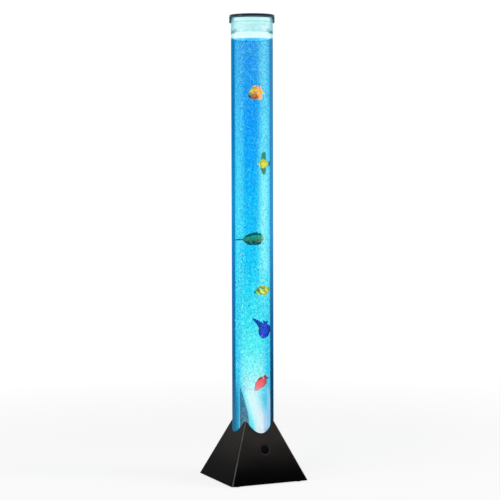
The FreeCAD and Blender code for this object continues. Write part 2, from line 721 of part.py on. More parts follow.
# ---- Hose and leads ----
def tangent_path(points, bend=None):
    """Wire of straight runs joined by tangent arcs, each as large as its runs allow."""
    edges = []
    start = points[0]
    for before, corner, after in zip(points, points[1:], points[2:]):
        back = (before - corner).normalize()
        ahead = (after - corner).normalize()
        half_turn = (math.pi - back.getAngle(ahead)) / 2
        reach = BEND_SHARE * min((before - corner).Length, (after - corner).Length)
        if bend is not None:
            reach = bend * math.tan(half_turn)
        entry = corner + back * reach
        leave = corner + ahead * reach
        radius = reach / math.tan(half_turn)
        inward = (back + ahead).normalize()
        middle = corner + inward * (radius / math.cos(half_turn) - radius)
        edges += [Part.LineSegment(start, entry).toShape(),
                  Part.Arc(entry, middle, leave).toShape()]
        start = leave
    edges.append(Part.LineSegment(start, points[-1]).toShape())
    return Part.Wire(edges)


def swept(points, radius, bend=None):
    """Round solid along a path."""
    direction = points[1] - points[0]
    section = Part.Wire(Part.makeCircle(radius, points[0], direction))
    return tangent_path(points, bend).makePipeShell([section], True, False)


def air_hose():
    """Silicone hose from the pump's nipple up to the valve under the tube."""
    route = [V(pump_right + 1, 0, HOSE_HEIGHT), V(0, 0, HOSE_HEIGHT), V(0, 0, valve_bottom - 1)]
    return swept(route, HOSE_RADIUS, HOSE_BEND).cut(swept(route, HOSE_BORE_RADIUS, HOSE_BEND))


connector_z = control_top + CONNECTOR_HEIGHT / 2
control_left = control_x - CONTROL_SIZE[0] / 2
control_front = CONTROL_Y - CONTROL_SIZE[1] / 2
control_back = CONTROL_Y + CONTROL_SIZE[1] / 2
pump_plug = V(control_left, 0, connector_z)
led_plug = V(control_left, -14, connector_z)
jack_plug = V(control_x - 8, control_back, connector_z)
switch_plug = V(control_x, control_front, connector_z)


def pump_lead():
    start = V(pump_right, -24, 26)
    return swept([start, start + V(15, 0, 0), V(-4, -17, 20), V(8, -8, connector_z),
                  pump_plug - V(12, 0, 0), pump_plug], LEAD_RADIUS)


def led_lead():
    start = V(26, -20, ledge_bottom - BOARD_THICKNESS)
    return swept([start, start - V(0, 0, 21), start - V(6, 4, 41),
                  led_plug - V(16, 6, -11), led_plug - V(12, 0, 0), led_plug], LEAD_RADIUS)


def jack_lead():
    start = jack_place - back_out * JACK_LENGTH
    return swept([start, start - back_out * 13, jack_plug + V(0, 10, 0), jack_plug],
                 LEAD_RADIUS)


def switch_lead():
    depth = BEZEL_BARREL_LENGTH + SWITCH_LENGTH + TERMINAL_LENGTH
    start = button_place - front_out * depth + V(TERMINAL_SPACING, 0, 0)
    return swept([start, start - front_out * 12, V(16, -34, 44),
                  switch_plug - V(16, 20, -9), switch_plug - V(0, 16, 0), switch_plug],
                 LEAD_RADIUS)


# ---- Control board ----
def control_corners():
    x = CONTROL_SIZE[0] / 2 - STANDOFF_INSET
    y = CONTROL_SIZE[1] / 2 - STANDOFF_INSET
    return [(control_x + sx * x, CONTROL_Y + sy * y)
            for sx in (-1, 1) for sy in (-1, 1)]


def control_board():
    half_x = CONTROL_SIZE[0] / 2
    return rounded_block(control_x - half_x, control_x + half_x, control_front, control_back,
                         control_bottom, control_top, 2.0)


def board_connectors():
    """Plugs on the board's edges, one for each lead."""
    half = CONNECTOR_WIDTH / 2
    top = control_top + CONNECTOR_HEIGHT
    blocks = [box(plug.x, plug.x + CONNECTOR_WIDTH, plug.y - half, plug.y + half,
                  control_top, top) for plug in (pump_plug, led_plug)]
    blocks.append(box(jack_plug.x - half, jack_plug.x + half, jack_plug.y - CONNECTOR_WIDTH,
                      jack_plug.y, control_top, top))
    blocks.append(box(switch_plug.x - half, switch_plug.x + half, switch_plug.y,
                      switch_plug.y + CONNECTOR_WIDTH, control_top, top))
    return Part.makeCompound(blocks)


def board_chips():
    """Controller, driver, capacitor and coil standing on the board."""
    pieces = []
    for dx, dy, wide, deep, high in CHIPS:
        x = control_x + dx
        y = CONTROL_Y + dy
        pieces.append(box(x - wide / 2, x + wide / 2, y - deep / 2, y + deep / 2,
                          control_top, control_top + high))
    for dx, dy, radius, high in CANS:
        pieces.append(cylinder(radius, control_top, control_top + high,
                               control_x + dx, CONTROL_Y + dy))
    return Part.makeCompound(pieces)


# ---- Cap ----
def cap_top():
    """Dark lid with a softened rim and small holes that let the pumped air out."""
    edge = 1.0
    lid = revolved([(0, cap_under), (cap_r, cap_under), (cap_r, TOTAL_HEIGHT - edge),
                    (cap_r - edge, TOTAL_HEIGHT), (0, TOTAL_HEIGHT)])
    vent = cylinder(CAP_VENT_RADIUS, cap_under - 1, TOTAL_HEIGHT + 1, CAP_VENT_CIRCLE)
    return lid.cut(around(vent, CAP_VENT_COUNT))


def cap_skirt():
    return ring(cap_r, tube_r + RUNNING_GAP, cap_under - CAP_SKIRT_LENGTH, cap_under)


def cap_plug():
    """Clear sleeve that centres the cap inside the tube."""
    outer = tube_bore - RUNNING_GAP
    low = cap_under - CAP_PLUG_LENGTH
    lead_in = 1.0
    return revolved([
        (outer - CAP_PLUG_WALL, low), (outer - lead_in, low), (outer, low + lead_in),
        (outer, cap_under), (outer - CAP_PLUG_WALL, cap_under)])


def cap_seal():
    return ring(tube_r, tube_bore, cap_under - CAP_SEAL_THICKNESS, cap_under)


# ---- Fish ----
# A body outline runs from the nose to the root of the tail as (place along, half height),
# and a fin's outline from one root to the other as (place along, height). Both are shares
# of the fish's length. Across and depth are measured from the tube's axis, to the right
# and away, as seen from FISH_TURN. Tilt lifts the nose, and turn swings it towards the eye
# where the fish points left. Nose is -1 to point left and 1 to point right.
FISH = {
    "orange_fish": dict(
        length=39.0, thickness=10.0, eye=(0.15, 0.06),
        body=((0.0, 0.03), (0.08, 0.13), (0.26, 0.28), (0.48, 0.33), (0.70, 0.22), (0.84, 0.09)),
        fins=(((0.78, 0.07), (0.90, 0.20), (1.0, 0.27), (0.95, 0.0), (1.0, -0.27),
               (0.90, -0.20), (0.78, -0.07)),
              ((0.22, 0.20), (0.38, 0.40), (0.62, 0.46), (0.84, 0.36), (0.78, 0.12)),
              ((0.42, -0.26), (0.52, -0.42), (0.68, -0.50), (0.80, -0.34), (0.78, -0.10))),
        across=8.0, depth=-10.0, height=926.0, tilt=-24.0, turn=10.0, nose=-1),
    "angel_fish": dict(
        length=36.0, thickness=8.0, eye=(0.15, 0.05),
        body=((0.0, 0.03), (0.09, 0.13), (0.28, 0.29), (0.50, 0.32), (0.72, 0.18), (0.84, 0.08)),
        fins=(((0.78, 0.06), (0.90, 0.16), (1.0, 0.24), (0.96, 0.0), (1.0, -0.24),
               (0.90, -0.16), (0.78, -0.06)),
              ((0.20, 0.18), (0.27, 0.46), (0.40, 0.72), (0.58, 0.74), (0.64, 0.42), (0.78, 0.10)),
              ((0.26, -0.22), (0.36, -0.46), (0.52, -0.75), (0.61, -0.60), (0.64, -0.34),
               (0.78, -0.08)),
              ((0.24, -0.20), (0.28, -0.42), (0.40, -0.66), (0.34, -0.40), (0.32, -0.24))),
        across=28.0, depth=-3.0, height=759.0, tilt=0.0, turn=-32.0, nose=-1),
    "green_fish": dict(
        length=72.0, thickness=11.0, eye=(0.06, 0.03),
        body=((0.0, 0.02), (0.04, 0.07), (0.14, 0.12), (0.30, 0.13), (0.50, 0.10), (0.70, 0.04),
              (0.78, 0.02)),
        fins=(((0.66, 0.05), (0.78, 0.025), (0.90, 0.02), (1.0, -0.01), (0.90, -0.02),
               (0.78, -0.02), (0.66, -0.04)),
              ((0.05, 0.06), (0.10, 0.17), (0.28, 0.22), (0.46, 0.19), (0.62, 0.11), (0.72, 0.02)),
              ((0.10, -0.08), (0.12, -0.17), (0.30, -0.20), (0.50, -0.19), (0.62, -0.12),
               (0.70, -0.02))),
        across=-8.0, depth=-8.0, height=578.0, tilt=2.0, turn=6.0, nose=1),
    "striped_fish": dict(
        length=41.0, thickness=9.0, eye=(0.13, 0.03),
        body=((0.0, 0.03), (0.10, 0.11), (0.30, 0.19), (0.54, 0.20), (0.74, 0.11), (0.86, 0.05)),
        fins=(((0.80, 0.04), (0.91, 0.13), (1.0, 0.18), (0.95, 0.0), (1.0, -0.18),
               (0.91, -0.13), (0.80, -0.04)),
              ((0.22, 0.14), (0.32, 0.26), (0.54, 0.29), (0.74, 0.23), (0.80, 0.06)),
              ((0.44, -0.16), (0.52, -0.28), (0.66, -0.29), (0.78, -0.05))),
        across=23.0, depth=-6.0, height=454.0, tilt=-14.0, turn=-12.0, nose=-1),
    "blue_fish": dict(
        length=43.0, thickness=10.0, eye=(0.14, 0.05),
        body=((0.0, 0.04), (0.08, 0.17), (0.26, 0.30), (0.48, 0.32), (0.70, 0.23), (0.86, 0.09)),
        fins=(((0.82, 0.06), (0.92, 0.14), (1.0, 0.16), (0.97, 0.0), (1.0, -0.14),
               (0.92, -0.12), (0.82, -0.06)),
              ((0.48, 0.28), (0.66, 0.44), (0.90, 0.70), (0.99, 0.78), (0.96, 0.50),
               (0.88, 0.26), (0.80, 0.10)),
              ((0.36, -0.26), (0.50, -0.37), (0.70, -0.34), (0.82, -0.08))),
        across=28.0, depth=-4.0, height=360.0, tilt=-80.0, turn=-14.0, nose=-1),
    "red_fish": dict(
        length=47.0, thickness=10.0, eye=(0.12, 0.03),
        body=((0.0, 0.02), (0.10, 0.09), (0.30, 0.17), (0.52, 0.19), (0.74, 0.11), (0.86, 0.05)),
        fins=(((0.80, 0.05), (0.90, 0.12), (1.0, 0.10), (0.97, 0.0), (1.0, -0.10),
               (0.90, -0.12), (0.80, -0.05)),
              ((0.16, 0.10), (0.34, 0.22), (0.56, 0.25), (0.80, 0.18), (0.82, 0.05)),
              ((0.26, -0.14), (0.42, -0.22), (0.64, -0.24), (0.80, -0.16), (0.82, -0.05))),
        across=19.0, depth=-12.0, height=231.0, tilt=-50.0, turn=8.0, nose=-1),
}
SIDE_FIN = ((0.30, 0.02), (0.40, 0.05), (0.50, 0.0), (0.48, -0.08), (0.38, -0.07), (0.30, -0.03))
SIDE_FIN_SPREAD = 28.0  # degrees between a side fin and the body


def fish_fin(outline, length):
    """Flat fin with a smooth rim, standing in the fish's middle plane."""
    points = [V(x * length, -FIN_THICKNESS / 2, z * length) for x, z in outline]
    rim = Part.BSplineCurve()
    rim.interpolate(points)
    root = Part.LineSegment(points[-1], points[0])
    face = Part.Face(Part.Wire([rim.toShape(), root.toShape()]))
    return face.extrude(V(0, FIN_THICKNESS, 0))


def half_width(body, half, thickness):
    """Half the body's thickness where its half height is the given share."""
    widest = max(tall for _, tall in body)
    return max(thickness / 2 * (half / widest) ** 0.7, MIN_HALF_THICKNESS)


def fish_body(body, length, thickness):
    """Loft through upright ellipses from the nose to the root of the tail."""
    wires = []
    for place, half in body:
        x = place * length
        wide = half_width(body, half, thickness)
        tall = max(half * length, wide + 0.01)
        section = Part.Ellipse(V(x, 0, tall), V(x, wide, 0), V(x, 0, 0))
        wires.append(Part.Wire(section.toShape()))
    return Part.makeLoft(wires, True, False)


def body_side(body, place, thickness):
    """How far the body reaches sideways at a place along it."""
    for (x0, half0), (x1, half1) in zip(body, body[1:]):
        if x0 <= place <= x1:
            half = half0 + (half1 - half0) * (place - x0) / (x1 - x0)
            return half_width(body, half, thickness)
    raise ValueError("the place is past the fish's body")


def fish_sides(length, thickness, body, eye):
    """Both eyes and both side fins."""
    pieces = []
    for side in (-1, 1):
        eye_y = side * (body_side(body, eye[0], thickness) - EYE_RADIUS / 2)
        pieces.append(Part.makeSphere(EYE_RADIUS, V(eye[0] * length, eye_y, eye[1] * length)))
        root_x = SIDE_FIN[0][0] * length
        root_y = side * (body_side(body, SIDE_FIN[0][0], thickness) - FIN_THICKNESS)
        fin = fish_fin(SIDE_FIN, length)
        fin.rotate(V(root_x, 0, 0), UP, side * SIDE_FIN_SPREAD)
        fin.translate(V(0, root_y, 0))
        pieces.append(fin)
    return pieces


def fish(length, thickness, eye, body, fins, across, depth, height, tilt, turn, nose):
    solid = fish_body(body, length, thickness)
    solid = solid.fuse([fish_fin(outline, length) for outline in fins]
                       + fish_sides(length, thickness, body, eye))
    solid.translate(V(-length / 2, 0, 0))
    if nose > 0:
        solid.rotate(V(0, 0, 0), UP, 180)
    solid.rotate(V(0, 0, 0), V(0, 1, 0), nose * -tilt)
    solid.rotate(V(0, 0, 0), UP, turn)
    solid.translate(V(across, depth, height))
    solid.rotate(V(0, 0, 0), UP, FISH_TURN)
    return solid


# ---- Build everything ----
PIECES = {
    "base_housing": base_housing,
    "base_plate": base_plate,
    "base_screws": base_screws,
    "rubber_feet": rubber_feet,
    "acrylic_tube": lambda: ring(tube_r, tube_bore, tube_bottom, tube_top),
    "tube_floor": tube_floor,
    "tube_gasket": tube_gasket,
    "inlet_fitting": inlet_fitting,
    "inlet_washer": inlet_washer,
    "inlet_nut": inlet_nut,
    "check_valve": check_valve,
    "air_diffuser": air_diffuser,
    "led_board": led_board,
    "leds": leds,
    "led_screws": led_screws,
    "button_bezel": button_bezel,
    "button_cap": button_cap,
    "button_spring": button_spring,
    "button_nut": button_nut,
    "switch_body": switch_body,
    "switch_terminals": switch_terminals,
    "dc_jack": dc_jack,
    "jack_pin": jack_pin,
    "jack_nut": jack_nut,
    "pump_case": pump_case,
    "pump_cover": pump_cover,
    "pump_mounts": pump_mounts,
    "pump_pivot": pump_pivot,
    "pump_arm": pump_arm,
    "pump_magnet": pump_magnet,
    "pump_core": pump_core,
    "pump_coil": pump_coil,
    "pump_bellows": pump_bellows,
    "pump_valve_block": pump_valve_block,
    "air_hose": air_hose,
    "pump_lead": pump_lead,
    "led_lead": led_lead,
    "jack_lead": jack_lead,
    "switch_lead": switch_lead,
    "control_board": control_board,
    "board_connectors": board_connectors,
    "board_chips": board_chips,
    "cap_top": cap_top,
    "cap_skirt": cap_skirt,
    "cap_plug": cap_plug,
    "cap_seal": cap_seal,
}

os.makedirs("parts", exist_ok=True)
for piece_name, make in PIECES.items():
    save(piece_name, make())
for fish_name, numbers in FISH.items():
    save(fish_name, fish(**numbers))
print(len(PIECES) + len(FISH), "nodes written")
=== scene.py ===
"""Bubble tube floor lamp: materials, water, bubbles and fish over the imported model.

Everything is in metres, +Z is up and -Y is the front, the face with the push button.
"""
import json
import math
import random

import bmesh
import bpy
from mathutils import Euler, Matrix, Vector


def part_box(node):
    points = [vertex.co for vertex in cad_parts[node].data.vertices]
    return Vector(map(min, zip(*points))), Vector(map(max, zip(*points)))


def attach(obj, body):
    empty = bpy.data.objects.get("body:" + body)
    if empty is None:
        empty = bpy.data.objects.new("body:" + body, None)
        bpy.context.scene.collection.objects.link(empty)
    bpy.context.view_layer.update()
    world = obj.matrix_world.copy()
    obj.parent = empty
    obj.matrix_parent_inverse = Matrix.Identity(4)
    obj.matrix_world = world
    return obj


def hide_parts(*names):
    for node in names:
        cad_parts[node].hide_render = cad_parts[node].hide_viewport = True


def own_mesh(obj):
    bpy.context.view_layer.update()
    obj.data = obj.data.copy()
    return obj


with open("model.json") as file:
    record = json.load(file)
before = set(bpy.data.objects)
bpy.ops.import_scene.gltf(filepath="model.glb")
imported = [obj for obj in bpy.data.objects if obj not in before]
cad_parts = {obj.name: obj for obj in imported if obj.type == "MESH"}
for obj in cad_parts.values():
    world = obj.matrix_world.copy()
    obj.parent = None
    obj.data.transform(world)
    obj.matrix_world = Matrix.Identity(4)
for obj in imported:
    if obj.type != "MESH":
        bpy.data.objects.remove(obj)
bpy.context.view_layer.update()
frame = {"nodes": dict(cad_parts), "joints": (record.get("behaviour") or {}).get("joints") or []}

nodes = frame["nodes"]

# ---- Places taken from the frame ----
TUBE_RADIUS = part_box("acrylic_tube")[1].x
TUBE_WALL = 0.003
BASE_BOTTOM, BASE_TOP = (corner.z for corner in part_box("base_housing"))
SKIRT_BOTTOM, SKIRT_TOP = (corner.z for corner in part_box("cap_skirt"))
SLEEVE_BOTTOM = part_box("cap_plug")[0].z
WATER_RADIUS = TUBE_RADIUS - TUBE_WALL - 0.0002
WATER_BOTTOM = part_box("air_diffuser")[1].z + 0.0005
WATER_TOP = SLEEVE_BOTTOM - 0.016

# ---- Camera, found from the tube's edges, the cap and the base's corners ----
CAMERA_PLACE = Vector((-1.5944, -3.5018, 0.7730))
CAMERA_PITCH = math.radians(90 - 3.2917)
CAMERA_ROLL = math.radians(0.16)
CAMERA_HEADING = math.radians(-24.400)
CAMERA_LENS = 115.53
SENSOR_WIDTH = 36.0


def linear(red, green, blue):
    """A colour written as 0 to 255 screen values, as the linear colour that nodes take."""
    def channel(value):
        share = value / 255
        return share / 12.92 if share <= 0.04045 else ((share + 0.055) / 1.055) ** 2.4
    return (channel(red), channel(green), channel(blue), 1.0)


def grey(value):
    return linear(value, value, value)


def crossing(red, green, blue):
    """Tint of one of the two sides of the water that together let this colour through."""
    return tuple(math.sqrt(channel) for channel in linear(red, green, blue))


# ---- Building materials ----
class Graph:
    """The nodes of a material or of the world, with short calls for each kind."""

    def __init__(self, owner, output_kind):
        owner.use_nodes = True
        self.owner = owner
        self.tree = owner.node_tree
        self.tree.nodes.clear()
        self.output = self.tree.nodes.new(output_kind)

    def feed(self, socket, value):
        if isinstance(value, bpy.types.NodeSocket):
            self.tree.links.new(value, socket)
        else:
            socket.default_value = value

    def add(self, kind, inputs=None, **settings):
        node = self.tree.nodes.new(kind)
        for key, value in settings.items():
            setattr(node, key, value)
        for key, value in (inputs or {}).items():
            self.feed(node.inputs[key], value)
        return node

    def place(self):
        return self.add("ShaderNodeTexCoord").outputs["Object"]

    def scaled_place(self, x, y, z):
        node = self.add("ShaderNodeMapping", {"Vector": self.place(), "Scale": (x, y, z)})
        return node.outputs["Vector"]

    def split(self, vector):
        node = self.add("ShaderNodeSeparateXYZ", {0: vector})
        return node.outputs[0], node.outputs[1], node.outputs[2]

    def maths(self, operation, a, b=0.0, clamp=False):
        node = self.add("ShaderNodeMath", {0: a, 1: b}, operation=operation, use_clamp=clamp)
        return node.outputs[0]

    def plus(self, a, b):
        return self.maths("ADD", a, b)

    def minus(self, a, b):
        return self.maths("SUBTRACT", a, b)

    def times(self, a, b, clamp=False):
        return self.maths("MULTIPLY", a, b, clamp)

    def larger(self, a, b, clamp=False):
        return self.maths("MAXIMUM", a, b, clamp)

    def unsigned(self, a):
        return self.maths("ABSOLUTE", a)

    def reach(self, a, b):
        """How far the point (a, b) lies from (0, 0)."""
        return self.maths("SQRT", self.plus(self.times(a, a), self.times(b, b)))

    def opposite(self, share):
        """1 where the share is 0, and 0 where it is 1."""
        return self.stretch(share, 0.0, 1.0, 1.0, 0.0)

    def height(self):
        return self.split(self.place())[2]

    def way_up(self):
        """How far the surface faces up: 1 for straight up and -1 for straight down."""
        return self.split(self.add("ShaderNodeNewGeometry").outputs["Normal"])[2]

    def stretch(self, value, low, high, to_low=0.0, to_high=1.0, smooth=False):
        node = self.add("ShaderNodeMapRange", {
            "Value": value, "From Min": low, "From Max": high,
            "To Min": to_low, "To Max": to_high})
        if smooth:
            node.interpolation_type = "SMOOTHSTEP"
        return node.outputs["Result"]

    def noise(self, scale, detail, vector=None, roughness=0.5):
        node = self.add("ShaderNodeTexNoise", {
            "Vector": vector or self.place(), "Scale": scale,
            "Detail": detail, "Roughness": roughness})
        return node.outputs["Fac"]

    def cells(self, scale, vector=None, randomness=1.0):
        node = self.add("ShaderNodeTexVoronoi", {
            "Vector": vector or self.place(), "Scale": scale, "Randomness": randomness})
        return node.outputs["Distance"]

    def by_height(self, *stops):
        """A colour that runs from one (height, colour) to the next."""
        low, high = stops[0][0], stops[-1][0]
        share = self.stretch(self.height(), low, high)
        return self.ramp(share, [((height - low) / (high - low), colour)
                                 for height, colour in stops])

    def turn(self):
        """How far round the tube a point is, as a share of a turn."""
        node = self.add("ShaderNodeTexGradient", {"Vector": self.place()},
                        gradient_type="RADIAL")
        return node.outputs["Fac"]

    def near_angle(self, degrees, reach):
        """1 at this angle round the tube, fading to 0 at reach degrees from it."""
        off = self.maths("FRACT", self.minus(self.turn(), degrees / 360 - 1))
        off = self.unsigned(self.minus(off, 0.5))
        return self.stretch(off, 0.0, reach / 360, 1.0, 0.0, smooth=True)

    def ramp(self, share, stops):
        node = self.add("ShaderNodeValToRGB", {"Fac": share})
        points = node.color_ramp.elements
        points[0].position, points[0].color = stops[0]
        points[1].position, points[1].color = stops[-1]
        for position, colour in stops[1:-1]:
            points.new(position).color = colour
        return node.outputs["Color"]

    def blend(self, share, a, b, kind="MIX"):
        node = self.add("ShaderNodeMix", data_type="RGBA", blend_type=kind)
        self.feed(node.inputs["Factor"], share)
        self.feed(node.inputs[6], a)
        self.feed(node.inputs[7], b)
        return node.outputs[2]

    def facing(self):
        """0 where the surface faces the eye and 1 at its edges."""
        return self.add("ShaderNodeLayerWeight", {"Blend": 0.5}).outputs["Facing"]

    def bump(self, height, strength, distance):
        node = self.add("ShaderNodeBump", {
            "Height": height, "Strength": strength, "Distance": distance})
        return node.outputs["Normal"]

    def principled(self, **inputs):
        return self.add("ShaderNodeBsdfPrincipled",
                        {key.replace("_", " "): value for key, value in inputs.items()})

    def mixed(self, share, a, b):
        return self.add("ShaderNodeMixShader", {0: share, 1: a, 2: b}).outputs[0]

    def done(self, shader):
        self.feed(self.output.inputs["Surface"], shader)
        return self.owner


def material_graph(name):
    return Graph(bpy.data.materials.new(name), "ShaderNodeOutputMaterial")


# ---- Where the paint changes, in metres ----
SOFT_EDGE = 0.002  # half the height over which two zones of the wall blend
CORNER_HIGHLIGHT_LINE = (0.0012, 0.0034)  # from a corner of the base, where its painted highlight fades
SKIRT_OUTSIDE = (TUBE_RADIUS + 0.0024, TUBE_RADIUS + 0.0032)
# Band of painted shadow under the lid, round the skirt's outside.
LID_SHADOW_BAND = (SKIRT_TOP - 0.0046, SKIRT_TOP - 0.0030)
SKIRT_END = (SKIRT_BOTTOM + 0.0004, SKIRT_BOTTOM + 0.0014)
SLEEVE_LIP = (SLEEVE_BOTTOM + 0.005, SLEEVE_BOTTOM + 0.012)
ACRYLIC_IOR = 1.49


def moulded(name, dark, light, roughness=0.45, grain=900.0, shine=0.35):
    """Moulded plastic or rubber: two close shades, uneven gloss and a fine grain."""
    g = material_graph(name)
    shade = g.blend(g.noise(14.0, 4.0), dark, light)
    gloss = g.stretch(g.noise(42.0, 3.0), 0.3, 0.7, roughness - 0.06, roughness + 0.08)
    surface = g.principled(Base_Color=shade, Roughness=gloss, Specular_IOR_Level=shine,
                           Normal=g.bump(g.noise(grain, 2.0), 0.35, 0.00006))
    return g.done(surface.outputs[0])


def metal(name, dark, light, roughness=0.3, brushed=(1.0, 1.0, 30.0)):
    """Metal with fine lines across one direction."""
    g = material_graph(name)
    lines = g.noise(220.0, 3.0, g.scaled_place(*brushed))
    surface = g.principled(
        Base_Color=g.blend(lines, dark, light), Metallic=1.0,
        Roughness=g.stretch(lines, 0.2, 0.8, roughness - 0.08, roughness + 0.12),
        Normal=g.bump(lines, 0.15, 0.00003))
    return g.done(surface.outputs[0])


def housing_plastic():
    """Satin black of the pyramid, with painted light: paler and warmer towards the notches,
    darkest at the bottom, and a painted highlight along each of the four corners."""
    g = material_graph("base_satin_black")
    x, y, z = g.split(g.place())
    # Painted light: paler and warmer towards the notches, darkest at the bottom.
    climb = g.stretch(z, BASE_BOTTOM, BASE_TOP - 0.02, smooth=True)
    low_shade = g.blend(g.noise(9.0, 5.0), grey(2), grey(7))
    lit_high_shade = g.blend(g.noise(22.0, 5.0), grey(34), linear(54, 49, 47))
    shade = g.blend(g.maths("POWER", climb, 1.3), low_shade, lit_high_shade)
    scuffs = g.stretch(g.noise(70.0, 6.0, g.scaled_place(1.0, 1.0, 0.35), 0.7), 0.62, 0.75)
    shade = g.blend(g.times(scuffs, 0.12), shade, grey(46))
    # Painted highlight along each corner, made uneven by noise.
    from_corner = g.unsigned(g.minus(g.unsigned(x), g.unsigned(y)))
    corner_highlight = g.times(g.stretch(from_corner, *CORNER_HIGHLIGHT_LINE, 1.0, 0.0),
                   g.stretch(g.noise(55.0, 5.0), 0.3, 0.6, 0.45, 1.0))
    shade = g.blend(corner_highlight, shade, grey(84))
    gloss = g.stretch(g.noise(35.0, 4.0), 0.3, 0.7, 0.24, 0.34)
    grain = g.bump(g.noise(1400.0, 2.0), 0.3, 0.00005)
    surface = g.principled(Base_Color=shade, Roughness=gloss, Normal=grain,
                           Specular_IOR_Level=0.008)
    return g.done(surface.outputs[0])


def lid_black():
    """Polished black lid, wiped in faint swirls. Its underside is painted pale and glowing:
    painted light from the lit water.
    """
    g = material_graph("lid_gloss_black")
    swirls = g.noise(60.0, 6.0, g.scaled_place(1.0, 1.0, 3.0), 0.65)
    # The underside is painted pale and glowing: painted light from the lit water.
    under = g.stretch(g.way_up(), -0.6, -0.9)
    shade = g.blend(swirls, linear(6, 22, 28), linear(18, 40, 48))
    shade = g.blend(under, shade, linear(214, 252, 254))
    surface = g.principled(
        Base_Color=shade, Roughness=g.stretch(swirls, 0.3, 0.7, 0.12, 0.24),
        Specular_IOR_Level=0.14, Normal=g.bump(g.noise(300.0, 2.0), 0.06, 0.00003),
        Emission_Color=g.blend(under, grey(0), linear(190, 245, 250)), Emission_Strength=0.75)
    return g.done(surface.outputs[0])


def clear_wall(g, film, shade, cover, glow=0.6):
    """Clear acrylic: a tinted film where cover is 0 and solid colour where it is 1, which glows
    as painted light.
    """
    through = g.add("ShaderNodeBsdfTransparent", {"Color": film})
    solid = g.principled(Base_Color=g.blend(1.0, shade, grey(170), "MULTIPLY"), Roughness=0.2,
                         Specular_IOR_Level=0.0, Emission_Color=shade, Emission_Strength=glow)
    wall = g.mixed(cover, through.outputs[0], solid.outputs[0])
    polish = g.add("ShaderNodeBsdfGlossy", {"Color": grey(255), "Roughness": 0.12})
    fresnel = g.add("ShaderNodeFresnel", {"IOR": ACRYLIC_IOR}).outputs[0]
    return g.done(g.mixed(g.stretch(fresnel, 0.04, 0.6, 0.0025, 0.0015), wall,
                          polish.outputs[0]))


def tube_acrylic():
    """The tube's wall: painted light and shade from the water at its edges, and above the water a
    painted pale glow with beads on it.
    """
    g = material_graph("tube_acrylic")
    height = g.height()
    facing = g.facing()
    # A darker, wider edge where the sleeve's lower edge sits: painted shade.
    from_lip = g.unsigned(g.minus(height, SLEEVE_BOTTOM))
    lip = g.stretch(from_lip, 0.0020, 0.0050, 0.14, 0.0, smooth=True)
    rim = g.stretch(g.plus(facing, lip), 0.50, 0.63, smooth=True)
    rise = g.stretch(height, WATER_TOP - SOFT_EDGE, WATER_TOP + SOFT_EDGE, smooth=True)
    fall = g.stretch(height, SLEEVE_BOTTOM - SOFT_EDGE, SLEEVE_BOTTOM + SOFT_EDGE, 1.0, 0.0,
                     smooth=True)
    # Above the water the wall is painted pale and glowing, painted light from the water, with
    # beads on it.
    beads = g.stretch(g.cells(420.0), 0.15, 0.5, 1.0, 0.85)
    mist_and_glow = g.times(g.times(rise, fall), beads)
    # Edge colours by height, glowing: painted light from the water, with a painted shade ring at
    # the sleeve's lower edge.
    deep = g.by_height((0.15, linear(40, 112, 142)), (0.25, linear(12, 100, 146)),
                       (0.50, linear(4, 122, 188)), (0.67, linear(12, 142, 204)),
                       (0.86, linear(4, 118, 178)), (WATER_TOP, linear(6, 126, 176)),
                       (WATER_TOP + 0.005, linear(200, 246, 246)),
                       (SLEEVE_BOTTOM - 0.005, linear(186, 236, 238)),
                       (SLEEVE_BOTTOM, linear(40, 122, 134)),
                       (SLEEVE_BOTTOM + 0.006, linear(140, 208, 216)))
    dull_side_shade = g.by_height((0.15, linear(12, 38, 58)), (0.25, linear(6, 60, 92)),
                       (0.42, linear(34, 98, 146)), (0.60, linear(60, 142, 196)),
                       (WATER_TOP, linear(52, 132, 176)),
                       (WATER_TOP + 0.005, linear(196, 240, 242)),
                       (SLEEVE_BOTTOM - 0.006, linear(180, 230, 234)),
                       (SLEEVE_BOTTOM - 0.001, linear(26, 104, 112)),
                       (SLEEVE_BOTTOM + 0.006, linear(140, 196, 204)))
    # One side of the tube is painted paler and duller than the other: painted light and shade.
    wall = g.blend(g.near_angle(-27.0, 75.0), deep, dull_side_shade)
    damp_glow = g.blend(g.noise(60.0, 4.0), linear(204, 248, 248), linear(236, 255, 255))
    clear = g.blend(mist_and_glow, damp_glow, linear(224, 254, 255))
    pale = g.times(rise, g.opposite(rim))
    shade = g.blend(pale, wall, clear)
    cover = g.larger(g.times(rise, 0.16), g.times(mist_and_glow, 0.75))
    cover = g.larger(g.times(rim, 0.97), cover, clamp=True)
    middle = g.stretch(facing, 0.02, 0.16, 1.0, 0.0, smooth=True)
    tint = g.blend(middle, linear(252, 255, 255), linear(247, 254, 254))
    return clear_wall(g, g.blend(rise, grey(255), tint), shade, cover, 0.65)


def tube_floor_clear():
    g = material_graph("tube_floor_clear")
    # Pale blue and glowing: painted light from the water, more solid towards its edges.
    rim = g.stretch(g.facing(), 0.45, 0.95, 0.05, 0.9, smooth=True)
    uneven = g.noise(40.0, 3.0)
    return clear_wall(g, linear(230, 250, 252),
                      g.blend(uneven, linear(140, 205, 225), linear(170, 225, 238)), rim)


